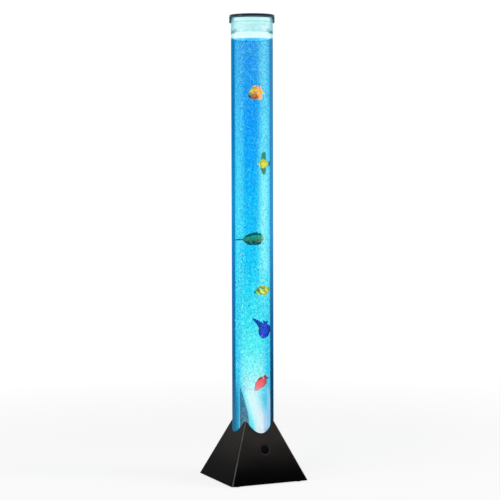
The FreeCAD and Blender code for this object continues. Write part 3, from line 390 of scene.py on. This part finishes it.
def skirt_clear():
    """The cap's outer ring: clear, with painted shade at its ends, where it is seen along its
    wall.

    A painted shadow line under the lid goes round its outside, and its inside is painted white
    there, as painted light from the water.
    """
    g = material_graph("skirt_clear")
    x, y, height = g.split(g.place())
    outside = g.stretch(g.reach(x, y), *SKIRT_OUTSIDE)
    line = g.stretch(height, *LID_SHADOW_BAND, smooth=True)
    aslant = g.plus(g.facing(), g.stretch(height, SKIRT_BOTTOM, SKIRT_TOP, -0.14, 0.08))
    rim = g.stretch(aslant, 0.36, 0.58, smooth=True)
    # Painted shade at the ring's ends, where it is seen along its wall.
    dark = g.blend(g.noise(30.0, 4.0), linear(14, 64, 80), linear(30, 92, 112))
    shade = g.blend(rim, linear(216, 253, 255), dark)
    # Painted shadow under the lid on the outside, painted light on the inside.
    shade = g.blend(line, shade, g.blend(outside, linear(214, 252, 254), linear(24, 56, 68)))
    end = g.stretch(height, *SKIRT_END, 0.5, 0.0)
    shade = g.blend(end, shade, linear(40, 84, 92))
    cover = g.stretch(rim, 0.0, 1.0, 0.12, 0.96)
    cover = g.larger(g.larger(cover, end), g.times(line, 0.92))
    return clear_wall(g, linear(251, 255, 255), shade, cover)


def sleeve_clear():
    """The cap's inner sleeve: painted shade along its edges, darkest at its lower edge, where
    drops also hang, and a painted pale glow inside.
    """
    g = material_graph("sleeve_clear")
    height = g.height()
    lip = g.stretch(height, *SLEEVE_LIP, 1.0, 0.0, smooth=True)
    facing = g.facing()
    aslant = g.plus(facing, g.times(lip, 0.16))
    rim = g.stretch(aslant, 0.44, 0.64, smooth=True)
    drops = g.stretch(g.cells(260.0), 0.10, 0.42, 1.0, 0.0)
    edge = g.blend(lip, linear(160, 222, 228), linear(70, 150, 160))
    spots = g.stretch(g.noise(130.0, 5.0, None, 0.65), 0.38, 0.62)
    damp_glow = g.blend(spots, linear(128, 208, 212), linear(236, 255, 255))
    damp_glow = g.blend(g.times(drops, lip), damp_glow, linear(128, 200, 206))
    shade = g.blend(rim, damp_glow, edge)
    # Painted light: paler and more solid just below the skirt.
    bright = g.stretch(height, SKIRT_BOTTOM, SKIRT_BOTTOM + 0.002, smooth=True)
    shade = g.blend(g.times(bright, g.opposite(rim)), shade, linear(224, 255, 255))
    cover = g.stretch(rim, 0.0, 1.0, g.stretch(bright, 0.0, 1.0, 0.28, 0.80), 0.94)
    middle = g.stretch(facing, 0.02, 0.16, 1.0, 0.0, smooth=True)
    tint = g.blend(middle, linear(252, 255, 255), linear(246, 254, 254))
    return clear_wall(g, tint, shade, cover, 0.7)


# The foot repeats at each quarter turn. Its leans and edges are shares of a quarter.
CORNER_START = 0.0647  # share of a turn at which the first corner's reflection begins
BEAM_HEIGHTS = (0.115, 0.235)
BEAM_LEAN = 0.456
WHITE_HEIGHTS = (0.118, 0.158)
WEDGE_HEIGHTS = (0.138, 0.232)
WEDGE_CURVE = 1.75
WEDGE_LEAN = 0.36
WEDGE_EDGE = (0.325, 0.36)
FADE_HEIGHTS = (0.150, 0.265)
STRIPES = (-183.0, 30.0)  # angle round the tube and reach, in degrees
PALE_STRIP = (-58.0, 14.0)


def foot_glow(g, height, facing):
    """Colour and cover of the lit fizz over the lamps, all painted light and shade.

    In each quarter a white beam leans away from a dark wedge, the reflection of a corner of
    the base. The wedge shows only on the near side of the water.
    """
    quarter = g.maths("FRACT", g.minus(g.times(g.turn(), 4.0), CORNER_START * 4.0))
    lean = g.plus(quarter, g.stretch(height, *BEAM_HEIGHTS, 0.0, BEAM_LEAN))
    shade = g.ramp(g.stretch(lean, 0.3, 1.3), [
        (0.00, linear(52, 176, 214)), (0.12, linear(66, 200, 232)),
        (0.24, linear(104, 232, 247)), (0.36, linear(205, 252, 254)),
        (0.48, linear(240, 253, 255)), (0.62, linear(232, 250, 255)),
        (0.74, linear(178, 234, 250)), (0.86, linear(100, 214, 236))])
    white_foot = g.times(g.stretch(height, *WHITE_HEIGHTS, 0.9, 0.0, smooth=True),
                         g.stretch(quarter, 0.46, 0.62, smooth=True))
    shade = g.blend(white_foot, shade, linear(236, 252, 254))
    climb = g.maths("POWER", g.stretch(height, *WEDGE_HEIGHTS), WEDGE_CURVE)
    wedge = g.plus(quarter, g.times(climb, WEDGE_LEAN))
    wedge = g.stretch(wedge, *WEDGE_EDGE, 1.0, 0.0)
    inside = g.add("ShaderNodeNewGeometry").outputs["Backfacing"]
    wedge = g.times(wedge, g.opposite(inside))
    shade = g.blend(wedge, shade, g.blend(g.stretch(height, 0.14, 0.22), linear(48, 100, 122),
                                          linear(36, 104, 146)))
    lilac = g.times(g.stretch(quarter, 0.80, 0.88),
                    g.stretch(height, 0.150, 0.185, 0.8, 0.0))
    shade = g.blend(lilac, shade, linear(186, 210, 246))
    shade = g.blend(g.stretch(facing, 0.28, 0.46, smooth=True), shade,
                    linear(110, 178, 214), "MULTIPLY")
    stripes = g.ramp(g.maths("FRACT", g.times(facing, 2.0)), [
        (0.0, linear(40, 130, 168)), (0.45, linear(60, 184, 222)), (1.0, linear(34, 130, 172))])
    shade = g.blend(g.stretch(g.near_angle(*STRIPES), 0.02, 0.10), shade, stripes)
    shade = g.blend(g.stretch(g.near_angle(*PALE_STRIP), 0.05, 0.40, 0.0, 0.9), shade,
                    linear(158, 216, 248))
    shade = g.blend(g.stretch(facing, 0.52, 0.64, smooth=True), shade, linear(20, 104, 144))
    fizz = g.stretch(g.noise(150.0, 4.0), 0.35, 0.65, 0.9, 1.05)
    near = g.stretch(inside, 0.0, 1.0, 0.86, 0.96)
    thick = g.times(g.stretch(height, *FADE_HEIGHTS, 1.0, 0.0, smooth=True), near)
    cover = g.larger(g.times(wedge, 0.92), thick)
    return shade, g.times(cover, fizz, clamp=True)


# Pale streams of fizz, partly painted light: angle round the tube, reach in degrees, and
# strength.
STREAMS = ((-77.0, 34.0, 1.0), (27.0, 34.0, 0.9), (113.0, 16.0, 0.3), (-160.0, 16.0, 0.3))


def water_surface():
    """What each crossing of the water's outside takes from the light behind it, with painted
    glow: together painted light that stands for the lamps' light in the water.

    Deep blue in the middle and paler to the flanks, with pale streams of fizz here and
    there, partly painted light, painted shade that is darkest at the rim, painted glints
    near it, and nearly white at the foot.
    """
    g = material_graph("lit_water")
    height = g.height()
    facing = g.facing()
    core = g.by_height((0.12, crossing(225, 250, 252)), (0.24, crossing(165, 250, 248)),
                       (0.32, crossing(80, 238, 244)), (0.42, crossing(44, 222, 244)),
                       (0.52, crossing(12, 202, 248)), (0.70, crossing(4, 178, 248)),
                       (0.86, crossing(6, 152, 246)), (1.05, crossing(42, 156, 234)))
    edge = g.by_height((0.28, crossing(12, 108, 164)), (0.60, crossing(14, 142, 208)),
                       (1.05, crossing(24, 138, 200)))
    high_up = g.stretch(height, 0.86, 1.02, 1.0, 0.3)
    flank = g.times(g.stretch(facing, 0.03, 0.15, smooth=True),
                    g.times(g.stretch(height, 0.42, 0.60, 0.0, 0.34), high_up))
    colour = g.blend(flank, core, crossing(100, 255, 252))
    sway = g.noise(26.0, 4.0, g.scaled_place(1.0, 1.0, 0.3))
    for angle, reach, strength in STREAMS:
        stream = g.times(g.near_angle(angle, reach),
                         g.stretch(height, 0.36, 0.52, 0.0, strength))
        stream = g.times(stream, g.stretch(height, 0.74, 0.88, 1.0, 0.6))
        stream = g.times(stream, g.stretch(sway, 0.35, 0.60, 0.6, 1.0))
        colour = g.blend(stream, colour, crossing(155, 255, 255))
    low_flank = g.times(g.stretch(facing, 0.06, 0.36, smooth=True),
                        g.stretch(height, 0.30, 0.50, 0.85, 0.0))
    colour = g.blend(low_flank, colour, crossing(30, 190, 244))
    fizz = g.noise(240.0, 4.0, g.scaled_place(1.0, 1.0, 0.75), 0.7)
    patches = g.times(g.stretch(g.noise(38.0, 3.0), 0.35, 0.60, 0.6, 1.0),
                      g.stretch(height, 0.45, 0.64, 1.1, 0.68))
    dark_fizz = g.times(g.stretch(fizz, 0.48, 0.34, 0.0, 1.0), patches)
    deep = g.by_height((0.24, crossing(60, 180, 196)), (0.40, crossing(14, 136, 176)),
                       (0.60, crossing(2, 112, 190)), (1.05, crossing(8, 100, 188)))
    colour = g.blend(dark_fizz, colour, deep)
    pale_fizz = g.times(g.stretch(fizz, 0.52, 0.66, 0.0, 0.95), patches)
    colour = g.blend(pale_fizz, colour, crossing(178, 255, 255))
    # Painted shade at the water's rim.
    colour = g.blend(g.stretch(facing, 0.50, 0.66, smooth=True), colour, edge)
    level = g.stretch(g.unsigned(g.way_up()), 0.15, 0.5)
    colour = g.blend(level, colour, crossing(150, 226, 244))
    # Painted glints: small glowing specks near the water's edges.
    glint_speckle = g.times(g.stretch(g.cells(230.0), 0.05, 0.34, 1.0, 0.0),
                      g.stretch(g.noise(75.0, 6.0, None, 0.65), 0.42, 0.62))
    glow = g.times(glint_speckle, g.stretch(facing, 0.45, 0.60, 0.12, 0.0))
    through = g.add("ShaderNodeBsdfTransparent", {"Color": colour})
    light = g.add("ShaderNodeEmission", {"Color": linear(150, 228, 255), "Strength": glow})
    clear = g.add("ShaderNodeAddShader", {0: through.outputs[0], 1: light.outputs[0]})
    shade, cover = foot_glow(g, height, facing)
    foot = g.add("ShaderNodeEmission", {"Color": shade, "Strength": 1.0})
    return g.done(g.mixed(cover, clear.outputs[0], foot.outputs[0]))


def bubble_skin():
    """Air bubble in lit water, glowing, with painted light: lighter on its crown and painted
    shade below, paler near the foot.
    """
    g = material_graph("bubble_skin")
    # Painted light and shade: the crown is painted lighter and the underside dimmer.
    crown = g.stretch(g.way_up(), -0.4, 0.7, smooth=True)
    dim = g.by_height((0.15, linear(120, 225, 240)), (0.45, linear(30, 180, 220)),
                      (0.75, linear(10, 140, 220)), (1.05, linear(30, 130, 205)))
    bright = g.by_height((0.15, linear(225, 255, 255)), (0.45, linear(120, 240, 248)),
                         (1.05, linear(110, 205, 250)))
    shade = g.blend(g.stretch(g.noise(60.0, 2.0), 0.42, 0.60), dim, bright)
    shade = g.blend(g.times(crown, 0.6), shade, bright)
    surface = g.principled(Base_Color=shade, Roughness=0.12, Alpha=0.8,
                           Specular_IOR_Level=0.1, Emission_Color=shade,
                           Emission_Strength=0.75)
    return g.done(surface.outputs[0])


def froth_white():
    g = material_graph("surface_froth")
    beads = g.cells(360.0)
    shade = g.blend(g.stretch(beads, 0.1, 0.5), linear(216, 252, 255), linear(150, 226, 246))
    # The froth glows: painted light from the water.
    surface = g.principled(
        Base_Color=shade, Roughness=0.35, Alpha=g.stretch(beads, 0.0, 0.6, 0.9, 0.5),
        Emission_Color=shade, Emission_Strength=0.9, Normal=g.bump(beads, 0.6, 0.0006))
    return g.done(surface.outputs[0])


def circuit_board(name):
    """White solder mask with fine copper-coloured tracks under it."""
    g = material_graph(name)
    tracks = g.cells(160.0, g.scaled_place(1.0, 0.25, 1.0), 0.4)
    line = g.stretch(tracks, 0.02, 0.05, 1.0, 0.0)
    shade = g.blend(g.times(line, 0.5), linear(232, 234, 228), linear(180, 178, 150))
    surface = g.principled(Base_Color=shade, Roughness=0.35,
                           Normal=g.bump(line, 0.2, 0.00003))
    return g.done(surface.outputs[0])


def led_lens():
    g = material_graph("led_lens")
    spot = g.stretch(g.cells(150.0), 0.0, 0.5, 1.0, 0.6)
    surface = g.principled(
        Base_Color=linear(250, 245, 210), Roughness=0.2,
        Emission_Color=g.blend(spot, linear(150, 220, 255), linear(240, 250, 255)),
        Emission_Strength=2.0)
    return g.done(surface.outputs[0])


def winding():
    g = material_graph("copper_winding")
    wave = g.add("ShaderNodeTexWave", {"Vector": g.place(), "Scale": 320.0, "Distortion": 0.4})
    shade = g.blend(wave.outputs["Fac"], linear(120, 55, 25), linear(205, 120, 60))
    surface = g.principled(Base_Color=shade, Metallic=0.8, Roughness=0.32,
                           Normal=g.bump(wave.outputs["Fac"], 0.5, 0.0002))
    return g.done(surface.outputs[0])


EYE_EDGE = (0.0016, 0.0019)
PUPIL_EDGE = (0.0009, 0.0011)
FIN_HALF = (0.0007, 0.0014)  # from the middle plane, where fin paint gives way to body paint


def toy_skin(name, fish):
    """Painted soft plastic of a toy fish, with a painted glow for the water's light round it.

    The paint follows the fish: along it from the nose, and up from its middle line, both
    as shares of its length. Its painted glow makes up for what the water's outside takes.
    """
    g = material_graph(name)
    length = fish["length"]
    turned = Euler((0, math.radians(fish["nose"] * -fish["tilt"]),
                    FISH_TURN + math.radians(fish["turn"])))
    middle = Vector(fish["place"])
    middle.rotate(Euler((0, 0, FISH_TURN)))
    node = g.add("ShaderNodeMapping", {
        "Vector": g.place(), "Location": middle, "Rotation": turned,
        "Scale": (-fish["nose"] * length, 1.0, length)}, vector_type="TEXTURE")
    along, side, up = g.split(node.outputs["Vector"])
    along = g.plus(along, 0.5)
    side = g.unsigned(side)
    uneven = g.stretch(g.noise(160.0, 3.0), 0.3, 0.7, -0.05, 0.05)
    tall = fish["tall"]
    shade = g.ramp(g.plus(g.stretch(up, -tall, tall), uneven), [
        (0.12, fish["belly"]), (0.50, fish["flank"]), (0.88, fish["back"])])
    nose = g.stretch(g.plus(along, uneven), fish["nose_end"] * 0.4, fish["nose_end"],
                     1.0, 0.0, smooth=True)
    shade = g.blend(nose, shade, fish["nose_colour"])
    for start, width, slant, colour in fish["bands"]:
        off = g.plus(along, g.times(up, slant))
        off = g.unsigned(g.minus(g.plus(off, uneven), start))
        shade = g.blend(g.stretch(off, width * 0.5, width * 0.8, 0.9, 0.0), shade, colour)
    scales = g.stretch(g.cells(420.0, None, 0.5), 0.1, 0.5, 0.10, 0.0)
    shade = g.blend(scales, shade, grey(255))
    rays = g.add("ShaderNodeTexWave", {"Vector": node.outputs["Vector"], "Scale": 9.0,
                                       "Distortion": 1.5}, bands_direction="X")
    fin_shade = g.blend(rays.outputs["Fac"], fish["fin"], fish["fin_ray"])
    fin = g.stretch(side, *FIN_HALF, 1.0, 0.0)
    shade = g.blend(fin, shade, fin_shade)
    eye_along, eye_up = fish["eye"]
    off_along = g.minus(along, eye_along)
    off_up = g.minus(up, eye_up)
    off = g.times(g.reach(off_along, off_up), length)
    shade = g.blend(g.stretch(off, *EYE_EDGE, 1.0, 0.0), shade, linear(120, 200, 196))
    shade = g.blend(g.stretch(off, *PUPIL_EDGE, 1.0, 0.0), shade, grey(8))
    # Painted glow: the fish shines with its own colour, boosted for the water's tint.
    lit = g.blend(1.0, shade, fish["tint"], "DIVIDE")
    surface = g.principled(
        Base_Color=g.blend(1.0, shade, grey(150), "MULTIPLY"), Roughness=0.32,
        Specular_IOR_Level=0.3, Emission_Color=lit, Emission_Strength=0.85,
        Normal=g.bump(g.noise(700.0, 3.0), 0.25, 0.0001))
    return g.done(surface.outputs[0])


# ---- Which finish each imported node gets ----
def dress(material, *names):
    for name in names:
        data = nodes[name].data
        data.materials.clear()
        data.materials.append(material)


def dress_nodes():
    dress(housing_plastic(), "base_housing")
    dress(moulded("cover_black", grey(16), grey(28), 0.55), "base_plate", "button_nut",
          "jack_nut", "dc_jack")
    dress(moulded("rubber_black", grey(18), grey(34), 0.75, 500.0), "rubber_feet",
          "pump_mounts", "pump_bellows")
    dress(metal("screw_zinc", grey(120), grey(190)), "base_screws", "led_screws", "pump_pivot",
          "jack_pin", "switch_terminals")
    dress(metal("spring_steel", grey(140), grey(205), 0.25), "button_spring")
    dress(metal("core_steel", grey(70), grey(120), 0.45, (1.0, 1.0, 60.0)), "pump_core")
    dress(metal("magnet_nickel", grey(150), grey(200), 0.2), "pump_magnet")
    dress(winding(), "pump_coil")
    dress(tube_acrylic(), "acrylic_tube")
    dress(tube_floor_clear(), "tube_floor")
    dress(moulded("gasket_silicone", grey(200), grey(225), 0.6), "tube_gasket", "inlet_washer",
          "cap_seal")
    dress(moulded("fitting_nylon", grey(185), grey(215), 0.4), "inlet_fitting", "inlet_nut",
          "check_valve")
    dress(moulded("diffuser_white", grey(222), grey(240), 0.35), "air_diffuser")
    dress(circuit_board("led_board_white"), "led_board")
    dress(circuit_board("control_board_white"), "control_board")
    dress(led_lens(), "leds")
    dress(moulded("bezel_black", grey(26), grey(40), 0.25, 1200.0, 0.10), "button_bezel")
    dress(moulded("key_black", grey(3), grey(8), 0.30, 1500.0, 0.05), "button_cap")
    dress(moulded("switch_black", grey(22), grey(32), 0.5), "switch_body")
    dress(moulded("pump_grey", grey(92), grey(112), 0.5), "pump_case", "pump_cover")
    dress(moulded("lever_white", grey(205), grey(225), 0.4), "pump_arm", "pump_valve_block")
    dress(moulded("hose_silicone", linear(205, 215, 215), linear(228, 235, 232), 0.35),
          "air_hose")
    dress(moulded("lead_black", grey(20), grey(30), 0.5), "pump_lead", "jack_lead")
    dress(moulded("lead_red", linear(130, 20, 18), linear(165, 30, 24), 0.5), "led_lead")
    dress(moulded("lead_white", grey(205), grey(225), 0.5), "switch_lead")
    dress(moulded("connector_white", grey(215), grey(232), 0.4), "board_connectors")
    dress(moulded("chip_black", grey(20), grey(34), 0.45), "board_chips")
    dress(lid_black(), "cap_top")
    dress(skirt_clear(), "cap_skirt")
    dress(sleeve_clear(), "cap_plug")


# Places are across, towards the back and up, before the turn that shows the fish side on.
FISH_TURN = math.radians(-24.5)
FISH = {
    "orange_fish": dict(
        length=0.039, place=(0.008, -0.010, 0.926), turn=10, tilt=-24, nose=-1,
        eye=(0.15, 0.06), tall=0.34, nose_end=0.26, tint=crossing(40, 180, 247),
        nose_colour=linear(48, 42, 60), belly=linear(190, 72, 10), flank=linear(240, 142, 18),
        back=linear(246, 214, 60), fin=linear(196, 156, 78), fin_ray=linear(226, 200, 124),
        bands=((0.66, 0.16, 0.2, linear(244, 196, 40)),)),
    "angel_fish": dict(
        length=0.036, place=(0.028, -0.003, 0.759), turn=-32, tilt=0, nose=-1,
        eye=(0.15, 0.05), tall=0.36, nose_end=0.16, tint=crossing(110, 242, 250),
        nose_colour=linear(205, 245, 245), belly=linear(236, 214, 24),
        flank=linear(246, 226, 40), back=linear(170, 190, 60),
        fin=linear(84, 160, 104), fin_ray=linear(8, 80, 60),
        bands=((0.34, 0.07, 0.1, linear(150, 200, 70)),)),
    "green_fish": dict(
        length=0.072, place=(-0.008, -0.008, 0.578), turn=6, tilt=2, nose=1,
        eye=(0.06, 0.03), tall=0.16, nose_end=0.09, tint=crossing(30, 198, 248),
        nose_colour=linear(70, 150, 140), belly=linear(36, 20, 34),
        flank=linear(14, 132, 92), back=linear(2, 150, 126),
        fin=linear(8, 100, 88), fin_ray=linear(4, 62, 62),
        bands=((0.05, 0.03, 0.2, linear(60, 150, 136)),)),
    "striped_fish": dict(
        length=0.041, place=(0.023, -0.006, 0.454), turn=-12, tilt=-14, nose=-1,
        eye=(0.13, 0.03), tall=0.22, nose_end=0.20, tint=crossing(92, 238, 248),
        nose_colour=linear(14, 36, 30), belly=linear(210, 232, 84),
        flank=linear(198, 214, 54), back=linear(96, 120, 30),
        fin=linear(196, 200, 44), fin_ray=linear(150, 160, 30),
        bands=((0.34, 0.06, 0.5, linear(40, 66, 20)), (0.48, 0.06, 0.5, linear(240, 250, 170)),
               (0.62, 0.04, 0.5, linear(120, 140, 30)), (0.80, 0.10, 0.3, linear(216, 226, 64)))),
    "blue_fish": dict(
        length=0.043, place=(0.028, -0.004, 0.360), turn=-14, tilt=-80, nose=-1,
        eye=(0.14, 0.05), tall=0.36, nose_end=0.12, tint=crossing(70, 232, 245),
        nose_colour=linear(6, 44, 160), belly=linear(4, 24, 150), flank=linear(22, 66, 222),
        back=linear(4, 18, 120), fin=linear(4, 36, 134), fin_ray=linear(20, 80, 180),
        bands=((0.62, 0.05, 0.3, linear(6, 18, 100)),)),
    "red_fish": dict(
        length=0.047, place=(0.019, -0.012, 0.231), turn=8, tilt=-50, nose=-1,
        eye=(0.12, 0.03), tall=0.22, nose_end=0.16, tint=crossing(150, 248, 248),
        nose_colour=linear(120, 30, 50), belly=linear(252, 30, 38), flank=linear(255, 46, 46),
        back=linear(252, 38, 44), fin=linear(226, 40, 56), fin_ray=linear(170, 30, 50),
        bands=((0.95, 0.10, 0.0, linear(130, 40, 64)),)),
}


def dress_fish():
    for name, fish in FISH.items():
        dress(toy_skin(name, fish), name)


# ---- Pieces made here ----
def add_object(name, data):
    made = bpy.data.objects.new(name, data)
    bpy.context.scene.collection.objects.link(made)
    return made


def piece(name, mesh, material):
    made = add_object(name, mesh)
    mesh.materials.append(material)
    for face in mesh.polygons:
        face.use_smooth = True
    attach(made, "root")


def lathe(name, outline, steps):
    """Mesh turned about Z from (radius, height) points, closed where a radius is 0."""
    shape = bmesh.new()
    rings = []
    for radius, height in outline:
        if radius == 0:
            rings.append([shape.verts.new((0, 0, height))])
            continue
        rings.append([shape.verts.new((radius * math.cos(2 * math.pi * i / steps),
                                       radius * math.sin(2 * math.pi * i / steps), height))
                      for i in range(steps)])
    for low, high in zip(rings, rings[1:]):
        for i in range(steps):
            j = (i + 1) % steps
            if len(low) == 1:
                shape.faces.new((low[0], high[j], high[i]))
            elif len(high) == 1:
                shape.faces.new((low[i], low[j], high[0]))
            else:
                shape.faces.new((low[i], low[j], high[j], high[i]))
    mesh = bpy.data.meshes.new(name)
    shape.to_mesh(mesh)
    shape.free()
    return mesh


def water():
    """The water column, its top curving up where it meets the tube."""
    meniscus = 0.0022
    reach = 0.006
    bevel = 0.001
    curve = 6
    outline = [(0, WATER_BOTTOM), (WATER_RADIUS - bevel, WATER_BOTTOM),
               (WATER_RADIUS, WATER_BOTTOM + bevel)]
    rows = 40
    for i in range(1, rows + 1):
        outline.append((WATER_RADIUS, WATER_BOTTOM + (WATER_TOP - WATER_BOTTOM) * i / rows))
    outline.append((WATER_RADIUS, WATER_TOP + meniscus))
    for i in range(1, curve + 1):
        share = i / curve
        outline.append((WATER_RADIUS - reach * share, WATER_TOP + meniscus * (1 - share) ** 2))
    outline += [(WATER_RADIUS / 2, WATER_TOP), (0, WATER_TOP)]
    piece("water", lathe("water", outline, steps=96), water_surface())


def unit_ball():
    """Corners and faces of a small round form with a radius of 1."""
    shape = bmesh.new()
    bmesh.ops.create_icosphere(shape, subdivisions=2, radius=1.0)
    corners = [vert.co.copy() for vert in shape.verts]
    faces = [[vert.index for vert in face.verts] for face in shape.faces]
    shape.free()
    return corners, faces


def balls(name, places):
    """One mesh of slightly flattened balls from (centre, radius, flattening)."""
    unit_corners, unit_faces = unit_ball()
    corners = []
    faces = []
    for centre, radius, flat in places:
        start = len(corners)
        corners += [centre + Vector((c.x, c.y, c.z * flat)) * radius for c in unit_corners]
        faces += [[start + i for i in face] for face in unit_faces]
    mesh = bpy.data.meshes.new(name)
    mesh.from_pydata(corners, [], faces)
    return mesh


def drift_box(name):
    """The space that a fish passes through as it drifts up and down."""
    low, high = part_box(name)
    down, up = next(joint["range_m"] for joint in frame["joints"]
                    if joint["child"] == name + "_body")
    return low + Vector((0, 0, down)), high + Vector((0, 0, up))


drift_boxes = [drift_box(name) for name in FISH]


def clear_of_fish(point, margin):
    for low, high in drift_boxes:
        if all(low[i] - margin < point[i] < high[i] + margin for i in range(3)):
            return False
    return True


BUBBLES = 900
RISING_STREAMS = 26
STREAM_REACH = 0.036
STREAM_SPREAD = 0.010
STREAM_TURN = 9.0  # radians round the tube for each metre up
BUBBLE_RADIUS = 0.0007
BUBBLE_GROWTH = 0.0015
BUBBLE_TO_WALL = 0.0008
BUBBLE_TO_FISH = 0.001
BUBBLE_TO_ENDS = 0.006


def bubbles():
    """Rising bubbles in loose streams, larger near the surface."""
    pick = random.Random(11)
    streams = [(pick.uniform(0.0, STREAM_REACH), pick.uniform(0, 2 * math.pi))
               for _ in range(RISING_STREAMS)]
    places = []
    while len(places) < BUBBLES:
        reach, angle = pick.choice(streams)
        height = pick.uniform(WATER_BOTTOM + BUBBLE_TO_ENDS, WATER_TOP - BUBBLE_TO_ENDS)
        sway = angle + STREAM_TURN * height + pick.uniform(-0.5, 0.5)
        growth = BUBBLE_GROWTH * pick.random() ** 1.5
        radius = BUBBLE_RADIUS + growth * (0.6 + 0.4 * height / WATER_TOP)
        out = min(reach + pick.uniform(0, STREAM_SPREAD),
                  WATER_RADIUS - radius - BUBBLE_TO_WALL)
        centre = Vector((out * math.cos(sway), out * math.sin(sway), height))
        if clear_of_fish(centre, radius + BUBBLE_TO_FISH):
            places.append((centre, radius, pick.uniform(0.8, 1.0)))
    piece("bubbles", balls("bubbles", places), bubble_skin())


FROTH_BUBBLES = 240
FROTH_RADII = (0.0007, 0.0019)
FROTH_TO_WALL = 0.0003
FROTH_CLIMB = 0.0020


def froth():
    """Small bubbles crowded against the tube at the water's surface."""
    pick = random.Random(5)
    places = []
    for _ in range(FROTH_BUBBLES):
        radius = pick.uniform(*FROTH_RADII)
        out = (WATER_RADIUS - radius - FROTH_TO_WALL) * pick.random() ** 0.22
        angle = pick.uniform(0, 2 * math.pi)
        lift = FROTH_CLIMB * (out / WATER_RADIUS) ** 8
        centre = Vector((out * math.cos(angle), out * math.sin(angle),
                         WATER_TOP + lift + radius * 0.5))
        places.append((centre, radius, 0.9))
    piece("froth", balls("froth", places), froth_white())


def key_spring():
    """The key's return spring, a copy of the imported one with a mesh of its own, in its place.
    The real spring shortens as the key is pressed.
    """
    mesh = nodes["button_spring"].data.copy()
    made = add_object("key_spring", mesh)
    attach(made, "root")
    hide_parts("button_spring")
    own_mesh(made)


# ---- Surroundings ----
SKY_STRENGTH = 0.40
FLOOR_REACH = 30.0
LAMP_MIDDLE = Vector((0, 0, 0.55))


def backdrop_world():
    """White where the camera, mirrors and glass look past the lamp, soft grey as light.

    Overhead it is dim, as a studio is, so that the black base keeps its depth.
    """
    world = bpy.data.worlds.new("studio")
    bpy.context.scene.world = world
    g = Graph(world, "ShaderNodeOutputWorld")
    path = g.add("ShaderNodeLightPath")
    way_up = g.split(g.add("ShaderNodeTexCoord").outputs["Generated"])[2]
    overhead = g.stretch(way_up, 0.45, 0.75, 1.0, 0.12)
    direct = g.larger(path.outputs["Is Camera Ray"], path.outputs["Is Transmission Ray"])
    mirrored = g.times(path.outputs["Is Glossy Ray"], overhead)
    as_light = g.times(g.larger(mirrored, SKY_STRENGTH), overhead)
    strength = g.larger(direct, as_light)
    sky = g.add("ShaderNodeBackground", {"Color": grey(255), "Strength": strength})
    g.done(sky.outputs[0])


def floor():
    """Pale floor that runs into the white backdrop and keeps the lamp's shadow."""
    g = material_graph("studio_floor")
    diffuse = g.add("ShaderNodeBsdfDiffuse", {
        "Color": g.blend(g.noise(2.0, 2.0), grey(244), grey(250))})
    glow = g.add("ShaderNodeEmission", {"Color": grey(255), "Strength": 1.02})
    path = g.add("ShaderNodeLightPath")
    seen = g.larger(path.outputs["Is Camera Ray"], path.outputs["Is Transmission Ray"])
    seen = g.larger(seen, path.outputs["Is Glossy Ray"])
    away = g.add("ShaderNodeVectorMath", {0: g.place()}, operation="LENGTH").outputs["Value"]
    share = g.times(seen, g.stretch(away, 0.5, 2.2, 0.8, 1.0, smooth=True))
    material = g.done(g.mixed(share, diffuse.outputs[0], glow.outputs[0]))
    shape = bmesh.new()
    bmesh.ops.create_grid(shape, x_segments=8, y_segments=8, size=FLOOR_REACH)
    mesh = bpy.data.meshes.new("floor")
    shape.to_mesh(mesh)
    shape.free()
    mesh.materials.append(material)
    add_object("floor", mesh)


def soft_box(name, place, size, watts, mirrored=True):
    """A white studio light aimed at the lamp's middle."""
    light = bpy.data.lights.new(name, "AREA")
    light.shape = "RECTANGLE"
    light.size, light.size_y = size
    light.energy = watts
    made = add_object(name, light)
    made.location = place
    made.rotation_mode = "QUATERNION"
    made.rotation_quaternion = (LAMP_MIDDLE - Vector(place)).to_track_quat("-Z", "Y")
    made.visible_glossy = mirrored


def lights():
    """Three soft boxes. The key isn't mirrored: it would whiten the lid seen from behind."""
    soft_box("key", (2.3, -1.8, 1.3), (0.9, 2.2), 60.0, mirrored=False)
    soft_box("fill", (-2.8, -0.2, 1.0), (1.0, 2.0), 26.0)
    soft_box("top", (-1.5, -1.0, 2.9), (1.0, 1.0), 34.0)


def camera():
    data = bpy.data.cameras.new("camera")
    data.lens = CAMERA_LENS
    data.sensor_width = SENSOR_WIDTH
    made = add_object("camera", data)
    made.location = CAMERA_PLACE
    made.rotation_euler = (CAMERA_PITCH, CAMERA_ROLL, CAMERA_HEADING)
    bpy.context.scene.camera = made


camera()
backdrop_world()
floor()
lights()
dress_nodes()
dress_fish()
water()
bubbles()
froth()
key_spring()
bpy.context.scene.view_settings.view_transform = "Standard"
